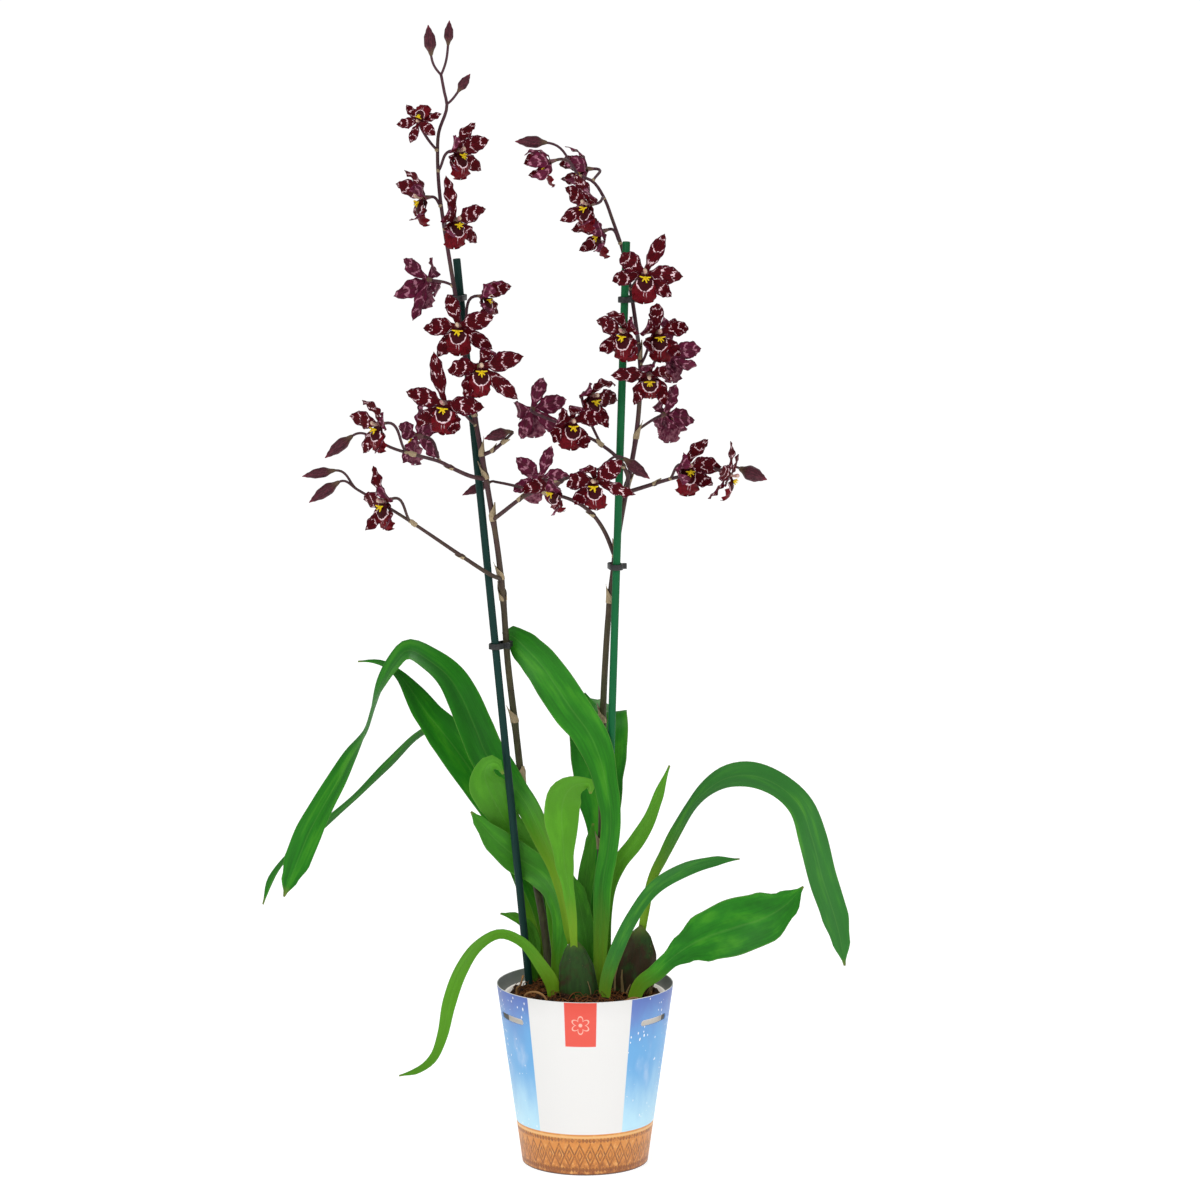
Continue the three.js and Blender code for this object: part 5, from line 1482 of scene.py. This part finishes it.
def petal_paint(look):
    """Deep red with pale broken arcs that open towards the tip."""
    paint = Paint("petal_front", specular=0.07)
    side, along, seed = paint.place()
    line = bar_lines(paint, side, along, seed)
    broken = paint.noise(paint.vector(side * 1.9, along * 3.0, seed + 3.3), 2.4, 3.0)
    shown = abs(side).rise(0.98, 0.72) * along.rise(0.1, 0.24) * along.rise(0.97, 0.9)
    shown = shown * broken.rise(0.41, 0.5)
    width = broken * 0.125
    bar = (width - line).rise(-0.01, 0.03) * shown
    halo = (width + 0.1 - line).rise(-0.06, 0.1) * shown
    freckle = paint.cells(paint.vector(side * 2.2, along * 6.0, seed), 2.6)
    freckle = freckle.rise(0.24, 0.12) * abs(side).rise(0.5, 0.8) * broken.rise(0.56, 0.46)
    veins = paint.noise(paint.vector(side * 9, along * 3, seed), 2.0, 3.0)
    ground = paint.blend(veins.rise(0.3, 0.75), look.shade, look.ground)
    ground = paint.blend(abs(side).rise(0.6, 1.0) * 0.5, ground, look.edge)
    ground = paint.blend(halo * 0.25, ground, (0.3, 0.012, 0.04))
    colour = paint.blend(bar * 0.95, ground, look.bar)
    colour = paint.blend(freckle * 0.7, colour, look.bar)
    colour = paint.blend(abs(side).rise(0.975, 1.0) * 0.3, colour, (0.4, 0.14, 0.22))
    return paint.done(colour, (veins, 0.0003, 0.3), 0.48 + veins * 0.2)


def petal_back_paint(look):
    """The bars show through on the back, paler and softer."""
    paint = Paint("petal_back", roughness=0.6, specular=0.08)
    side, along, seed = paint.place()
    line = bar_lines(paint, side, along, seed)
    veins = paint.noise(paint.vector(side * 10, along * 2, seed), 2.0, 3.0)
    cloud = paint.noise(paint.vector(side * 1.5, along * 3, seed + 2), 2.0, 3.0)
    bar = (0.12 - line).rise(-0.03, 0.04) * abs(side).rise(0.95, 0.6) * cloud.rise(0.35, 0.5)
    ground = paint.blend(cloud.rise(0.35, 0.65), (0.075, 0.008, 0.022), look.back)
    ground = paint.blend(bar * 0.75, ground, (0.62, 0.26, 0.36))
    rib = abs(side).rise(0.16, 0.0)
    ground = paint.blend(rib * 0.5, ground, (0.1, 0.03, 0.035))
    ground = paint.blend(veins.rise(0.5, 0.75) * 0.3, ground, (0.26, 0.08, 0.13))
    return paint.done(ground, (veins + rib, 0.0003, 0.35))


def lip_paint(look):
    """A maroon disc under the crest, a ragged white arc round its foot and a red skirt."""
    paint = Paint("lip_front", specular=0.1)
    x, y, seed = paint.place()  # centimetres in the flower's own face
    ragged = paint.noise(paint.vector(x * 1.6, y * 1.6, seed), 2.6, 4.0)
    far = (x * x * 1.1 + (y + 0.62) ** 2) ** 0.5 + (ragged - 0.5) * 0.34
    below = y.rise(-0.35, -0.6)
    arc = abs(far - 0.6).rise(0.06, 0.025) * below * ragged.rise(0.36, 0.44)
    disc = far.rise(0.62, 0.54)
    ribs = abs(abs(x + (ragged - 0.5) * 0.2) - 0.1).rise(0.04, 0.01)
    ribs = ribs * far.rise(0.6, 0.68) * y.rise(-1.8, -1.4) * ragged.rise(0.42, 0.52)
    upper = (abs(x) - 0.4).rise(0.0, 0.15) * y.rise(-0.5, -0.3)
    spots = paint.cells(paint.vector(x, y, seed), 4.5).rise(0.34, 0.2) * upper
    veins = paint.noise(paint.vector(x * 9, y * 3, seed), 1.5, 3.0)
    skirt = paint.blend(veins.rise(0.3, 0.7), shaded(look.lip, 0.45), look.lip)
    colour = paint.blend(disc * 0.85, skirt, look.disc)
    colour = paint.blend(arc.most(ribs * 0.7).most(spots * 0.6), colour, look.bar)
    return paint.done(colour, (veins, 0.0004, 0.35), 0.44 + veins * 0.2)


def lip_back_paint(look):
    paint = Paint("lip_back", roughness=0.6, specular=0.2)
    x, y, seed = paint.place()
    veins = paint.noise(paint.vector(x * 9, y * 3, seed), 1.5, 3.0)
    cloud = paint.noise(paint.vector(x * 2, y * 2, seed), 1.5, 3.0)
    base = paint.blend(cloud.rise(0.35, 0.65), look.back, (0.36, 0.13, 0.18))
    base = paint.blend(veins.rise(0.5, 0.7) * 0.4, base, (0.6, 0.34, 0.4))
    return paint.done(base, (veins, 0.0004, 0.4))


def tinted_paint(name, colour, tinge, amount):
    """A soft two-tone paint for the small parts of the flower's middle."""
    paint = Paint(name, specular=0.25)
    cloud = paint.noise(paint.point(), 420.0, 3.0)
    colour = paint.blend(cloud.rise(0.42, 0.66) * amount, colour, tinge)
    return paint.done(colour, (cloud, 0.0002, 0.3), 0.45 + cloud * 0.2)


# Share of the length, share of the half width
SEPAL_SHAPE = [(0, 0.34), (0.12, 0.4), (0.38, 0.86), (0.56, 1), (0.74, 0.86), (0.9, 0.42), (1, 0.03)]
PETAL_SHAPE = [(0, 0.26), (0.1, 0.36), (0.32, 0.9), (0.5, 1), (0.7, 0.86), (0.88, 0.45), (1, 0.03)]
LIP_SHAPE = [
    (0, 0.2), (0.12, 0.42), (0.3, 0.8), (0.5, 1), (0.68, 0.97), (0.84, 0.76), (0.94, 0.46), (1, 0.1),
]
# Share of the length, millimetres down and millimetres forward
LIP_DROP = [(0, 0.5), (0.2, 5), (0.5, 12), (0.8, 18.5), (1, 21.5)]
LIP_OUT = [(0, 2.4), (0.22, 5.2), (0.45, 6.2), (0.7, 5.4), (1, 2.4)]
SEPAL_LENGTH = 28.0
PETAL_LENGTH = 26.5
TEPAL_START = 1.2  # from the flower's middle
TEPAL_ROWS = 30
PETAL_LIFT = 1.2  # in front of the flower's middle; the sepals stand behind it
SEPAL_LIFT = -0.6
FLAT_CURL = 0.5  # a tepal that curls less than this hangs as it likes
FREE_CURLS = (-0.35, 0.1)
TWIST = 0.35  # radians
RUFFLES = (2.2, 3.4)  # waves along a tepal's margin
RUFFLE_DEPTH = 1.15
CUPS = (0.05, 0.2)
LIP_WIDTHS = (0.78, 1.0)
LIP_SWING = 0.12
LIP_RUFFLES = 4.2
LIP_RUFFLE_DEPTH = 1.5
LIP_NOTCH = 1.6
COLUMN_SHAPE = [(0, 0.9), (0.3, 0.8), (0.6, 0.95), (0.8, 1.25), (0.93, 1.1), (1, 0.5)]
COLUMN_RADIUS = 1.25
CREST_AIMS = (
    (-1, 0.25, 0.35), (1, 0.2, 0.35), (-0.55, -0.5, 0.8), (0.55, -0.55, 0.8), (-0.1, 0.45, 1.1),
    (0.15, -0.9, 0.5),
)
CREST_LENGTH = 3.4
CREST_RADII = (0.75, 0.4)
OVARY_RADII = (2.5, 1.25)


def curl_for(reach, length):
    """Turn in radians, from base to tip, that brings a tepal's tip in to the reach that is wanted."""
    want = min(reach / length, 0.998)
    low, high = 0.0, 2.6
    for _ in range(24):
        turn = (low + high) / 2
        if math.sin(turn) / max(turn, 1e-6) > want:
            low = turn
        else:
            high = turn
    return low


class ORCHID_OT_blooms(bpy.types.Operator):
    """Makes the barred blooms with their lips, crests and columns"""

    bl_idname = "orchid.blooms"
    bl_label = "Blooms"

    def execute(self, context):
        look = context.scene.orchid_bloom
        paints = [
            petal_paint(look),
            petal_back_paint(look),
            lip_paint(look),
            lip_back_paint(look),
            tinted_paint("column_skin", look.column, (0.42, 0.1, 0.17), 0.8),
            tinted_paint("crest_skin", look.crest, (0.75, 0.4, 0.02), 0.5),
            tinted_paint("ovary_skin", (0.16, 0.07, 0.08), (0.12, 0.1, 0.03), 0.9),
        ]
        for number, row in enumerate(BLOOMS):
            self.bloom(look, number, row, paints)
        return {"FINISHED"}

    def bloom(self, look, number, row, paints):
        name, at, _, azimuth, tilt, roll, size, tepals = row
        body = Body(f"flower_{name}")
        draw = random.Random(50 + number)
        for index, (angle, reach) in enumerate(tepals):
            petal = index in (0, 2)
            self.tepal(body, look, draw, angle, reach, petal, number * 5 + index)
        self.lip(body, look, draw, number)
        self.middle(body, draw)
        facing, dorsal, right = bloom_axes(azimuth, tilt, roll)
        turn = Matrix((right, dorsal, facing)).transposed().to_4x4() * size
        turn.translation = Vector(at)
        turn[3][3] = 1.0
        bmesh.ops.transform(body.mesh, matrix=turn, verts=body.mesh.verts)
        body.finish(paints, "bloom", [f"bloom_{name}"])

    def tepal(self, body, look, draw, angle, reach, petal, seed):
        natural = PETAL_LENGTH if petal else SEPAL_LENGTH
        length = max(natural, reach * 1.01)
        curl = curl_for(reach, length)
        if curl < FLAT_CURL:
            curl = draw.uniform(*FREE_CURLS)
        half_width = (look.petal_width if petal else look.sepal_width) / MM / 2
        shape = PETAL_SHAPE if petal else SEPAL_SHAPE
        lift = PETAL_LIFT if petal else SEPAL_LIFT
        twist = draw.uniform(-TWIST, TWIST)
        waves, phase = draw.uniform(*RUFFLES), draw.uniform(0, ANY_TURN)
        cup = draw.uniform(*CUPS) * (-1 if petal else 1)
        thick = look.thickness / MM / 2
        rows = TEPAL_ROWS
        out = Vector((math.cos(math.radians(angle)), math.sin(math.radians(angle)), 0))
        side = Vector((-out.y, out.x, 0))
        up = Vector((0, 0, 1))
        lines, here = [], out * TEPAL_START + up * lift
        for i in range(rows + 1):
            slope = curl * (i / rows) ** 0.8 * 1.25 - (0 if petal else 0.06)
            lines.append((here.copy(), slope))
            here += (out * math.cos(slope) + up * math.sin(slope)) * (length - TEPAL_START) / rows

        def spot(u, v):
            centre, slope = lines[round(v * rows)]
            across, body_out = blade(u)
            normal = up * math.cos(slope) - out * math.sin(slope)
            half = half_width * step_value(shape, v)
            sign = 1 if across > 0 else -1
            half *= 1 + 0.09 * wobble(v * 11, seed + sign * 0.3) + 0.05 * wobble(v * 26, seed + sign)
            bend = twist * v
            lean = side * math.cos(bend) + normal * math.sin(bend)
            face = normal * math.cos(bend) - side * math.sin(bend)
            ruffle = RUFFLE_DEPTH * across * across * math.sin(2 * math.pi * waves * v + phase + sign)
            ruffle *= ease(v / 0.2) * ease((1 - v) / 0.15)
            channel = cup * half * across * across
            point = centre + lean * (across * half) + face * (ruffle + channel + body_out * thick)
            return point, (across, v, seed * 1.7)

        body.skin(20, rows, spot, 0, 1)

    def lip(self, body, look, draw, seed):
        half_width = look.lip_width / MM / 2 * draw.uniform(*LIP_WIDTHS)
        thick = look.thickness / MM / 2
        phase = draw.uniform(0, ANY_TURN)
        swing = draw.uniform(-LIP_SWING, LIP_SWING)

        def spot(u, v):
            across, body_out = blade(u)
            sign = 1 if across > 0 else -1
            drop, out = line_value(LIP_DROP, v), step_value(LIP_OUT, v)
            half = half_width * step_value(LIP_SHAPE, v)
            half *= 1 + 0.1 * wobble(v * 12, seed + sign) + 0.07 * wobble(v * 34, seed + 3 * sign)
            edge = abs(across)
            angle = 2 * math.pi * LIP_RUFFLES * v + phase + 1.4 * sign
            ruffle = LIP_RUFFLE_DEPTH * edge**3 * math.sin(angle)
            ruffle *= ease(v / 0.25)
            notch = LIP_NOTCH * max(0, 1 - edge * 3) * ease((v - 0.85) / 0.15)
            tip_ruffle = 0.9 * math.sin(7 * across + phase) * ease((v - 0.6) / 0.4)
            back = -0.34 * half * edge * edge
            x = across * half + swing * drop
            y = -drop + notch - 0.12 * half * edge * edge * (1 if v > 0.5 else -1)
            z = out + back + ruffle + tip_ruffle + body_out * thick
            return Vector((x, y, z)), (x / 10, y / 10, seed * 1.3)

        body.skin(28, TEPAL_ROWS, spot, 2, 3)

    def middle(self, body, draw):
        """Column with its cap, crest fingers and the ovary behind."""
        column = smooth_path([(0, -0.6, 0.5), (0, 0.4, 3.2), (0, 1.8, 6), (0, 2.6, 8.2)], 5)
        body.tube(
            column, lambda v: COLUMN_RADIUS * step_value(COLUMN_SHAPE, v), sides=14, paint=4,
            shape=lambda u, v: 1 + 0.16 * math.cos(4 * math.pi * u) + 0.08 * math.sin(9 * v + 6.3 * u),
        )
        for x, y, z in CREST_AIMS:
            aim = Vector((x + draw.uniform(-0.2, 0.2), y + draw.uniform(-0.2, 0.2), z)).normalized()
            start = Vector((x * 0.8, -2.9 + y * 0.5, 5.4))
            spots = [start + aim * (CREST_LENGTH * i / 6) for i in range(7)]
            body.tube(spots, lambda v: mix(*CREST_RADII, v), sides=7, paint=5)
        ovary = smooth_path([(0, 0.2, 1.6), (0, 0, -0.5), (0, 0, -3), (0, 0, -6.1)], 4)
        body.tube(ovary, lambda v: mix(*OVARY_RADII, v), sides=10, paint=6)


# Stage


CAMERA_AT = (0.011, -3.400, 0.930)
CAMERA_DOWN = 8.56  # degrees below level
CAMERA_FOCUS = 4733 / 1200  # focal length as a share of the frame's width
SENSOR = 36.0
FLOOR_RADIUS = 30
SEEN_WHITE = 1.05  # brightness of the room where the camera sees it
LAMP_AIM = Vector((0, 0, 0.45))
# name, place, the setting that holds its watts, width
LAMPS = (
    ("key_lamp", (-1.3, -2.2, 2.6), "key", 1.6),
    ("fill_lamp", (1.9, -1.7, 1.3), "fill", 1.6),
    ("back_lamp", (0.6, 2.4, 2.2), "fill", 1.4),
)


class ORCHID_OT_stage(bpy.types.Operator):
    """Makes the pale floor, the soft lights and the camera"""

    bl_idname = "orchid.stage"
    bl_label = "Stage"

    def execute(self, context):
        look = context.scene.orchid_stage
        scene = context.scene
        scene.view_settings.view_transform = "Standard"
        self.camera(scene)
        self.floor(look)
        self.room(scene, look)
        for name, at, setting, size in LAMPS:
            self.lamp(name, at, getattr(look, setting), size)
        return {"FINISHED"}

    def camera(self, scene):
        data = bpy.data.cameras.new("camera")
        data.sensor_width = SENSOR
        data.lens = CAMERA_FOCUS * SENSOR
        data.clip_end = 100
        camera = bpy.data.objects.new("camera", data)
        camera.location = CAMERA_AT
        camera.rotation_euler = (math.radians(90 - CAMERA_DOWN), 0, 0)
        scene.collection.objects.link(camera)
        scene.camera = camera

    def floor(self, look):
        bm = bmesh.new()
        bmesh.ops.create_circle(bm, cap_ends=True, segments=96, radius=FLOOR_RADIUS)
        data = bpy.data.meshes.new("floor")
        bm.to_mesh(data)
        bm.free()
        floor = bpy.data.objects.new("floor", data)
        bpy.context.scene.collection.objects.link(floor)
        paint = Paint("floor_paint", roughness=0.12, specular=0.4)
        paint.shader.inputs["Base Color"].default_value = (*look.floor, 1)
        paint.shader.inputs["Emission Color"].default_value = (1, 1, 1, 1)
        paint.shader.inputs["Emission Strength"].default_value = look.glow
        data.materials.append(paint.material)

    def room(self, scene, look):
        """White walls all round: soft light on the plant, plain white behind it."""
        world = bpy.data.worlds.new("white_room")
        scene.world = world
        world.use_nodes = True
        light = world.node_tree.nodes["Background"]
        light.inputs["Color"].default_value = (1, 1, 1, 1)
        seen = world.node_tree.nodes.new("ShaderNodeLightPath")
        strength = world.node_tree.nodes.new("ShaderNodeMix")
        strength.inputs[2].default_value = look.sky
        strength.inputs[3].default_value = SEEN_WHITE
        world.node_tree.links.new(seen.outputs["Is Camera Ray"], strength.inputs[0])
        world.node_tree.links.new(strength.outputs[0], light.inputs["Strength"])

    def lamp(self, name, at, watts, size):
        data = bpy.data.lights.new(name, "AREA")
        data.energy = watts
        data.size = size
        lamp = bpy.data.objects.new(name, data)
        lamp.location = at
        lamp.rotation_euler = (LAMP_AIM - Vector(at)).to_track_quat("-Z", "Y").to_euler()
        bpy.context.scene.collection.objects.link(lamp)


# Add-on


GROUPS = {
    "orchid_sleeve": OrchidSleeve, "orchid_pot": OrchidPot, "orchid_mix": OrchidMix,
    "orchid_bulb": OrchidBulb, "orchid_leaf": OrchidLeaf, "orchid_stick": OrchidStick,
    "orchid_stem": OrchidStem, "orchid_bloom": OrchidBloom, "orchid_stage": OrchidStage,
}
MAKERS = [
    ORCHID_OT_sleeve, ORCHID_OT_pot, ORCHID_OT_mix, ORCHID_OT_bulbs, ORCHID_OT_leaves,
    ORCHID_OT_sticks, ORCHID_OT_spikes, ORCHID_OT_blooms, ORCHID_OT_stage,
]


class ORCHID_PT_panel(bpy.types.Panel):
    """Lists the makers and what each one can be set to"""

    bl_label = "Potted orchid"
    bl_idname = "ORCHID_PT_panel"
    bl_space_type = "VIEW_3D"
    bl_region_type = "UI"
    bl_category = "Orchid"

    def draw(self, context):
        for maker, (name, group) in zip(MAKERS, GROUPS.items()):
            box = self.layout.box()
            box.operator(maker.bl_idname)
            for key in group.__annotations__:
                box.prop(getattr(context.scene, name), key)


CLASSES = [*GROUPS.values(), *MAKERS, ORCHID_PT_panel]


def register():
    for kind in CLASSES:
        bpy.utils.register_class(kind)
    for name, group in GROUPS.items():
        setattr(bpy.types.Scene, name, bpy.props.PointerProperty(type=group))


def unregister():
    for name in GROUPS:
        delattr(bpy.types.Scene, name)
    for kind in reversed(CLASSES):
        bpy.utils.unregister_class(kind)


def main():
    register()
    bpy.ops.orchid.sleeve()
    bpy.ops.orchid.pot()
    bpy.ops.orchid.mix()
    bpy.ops.orchid.bulbs()
    bpy.ops.orchid.leaves()
    bpy.ops.orchid.sticks()
    bpy.ops.orchid.spikes()
    bpy.ops.orchid.blooms()
    bpy.ops.orchid.stage()


if __name__ == "__main__":
    main()
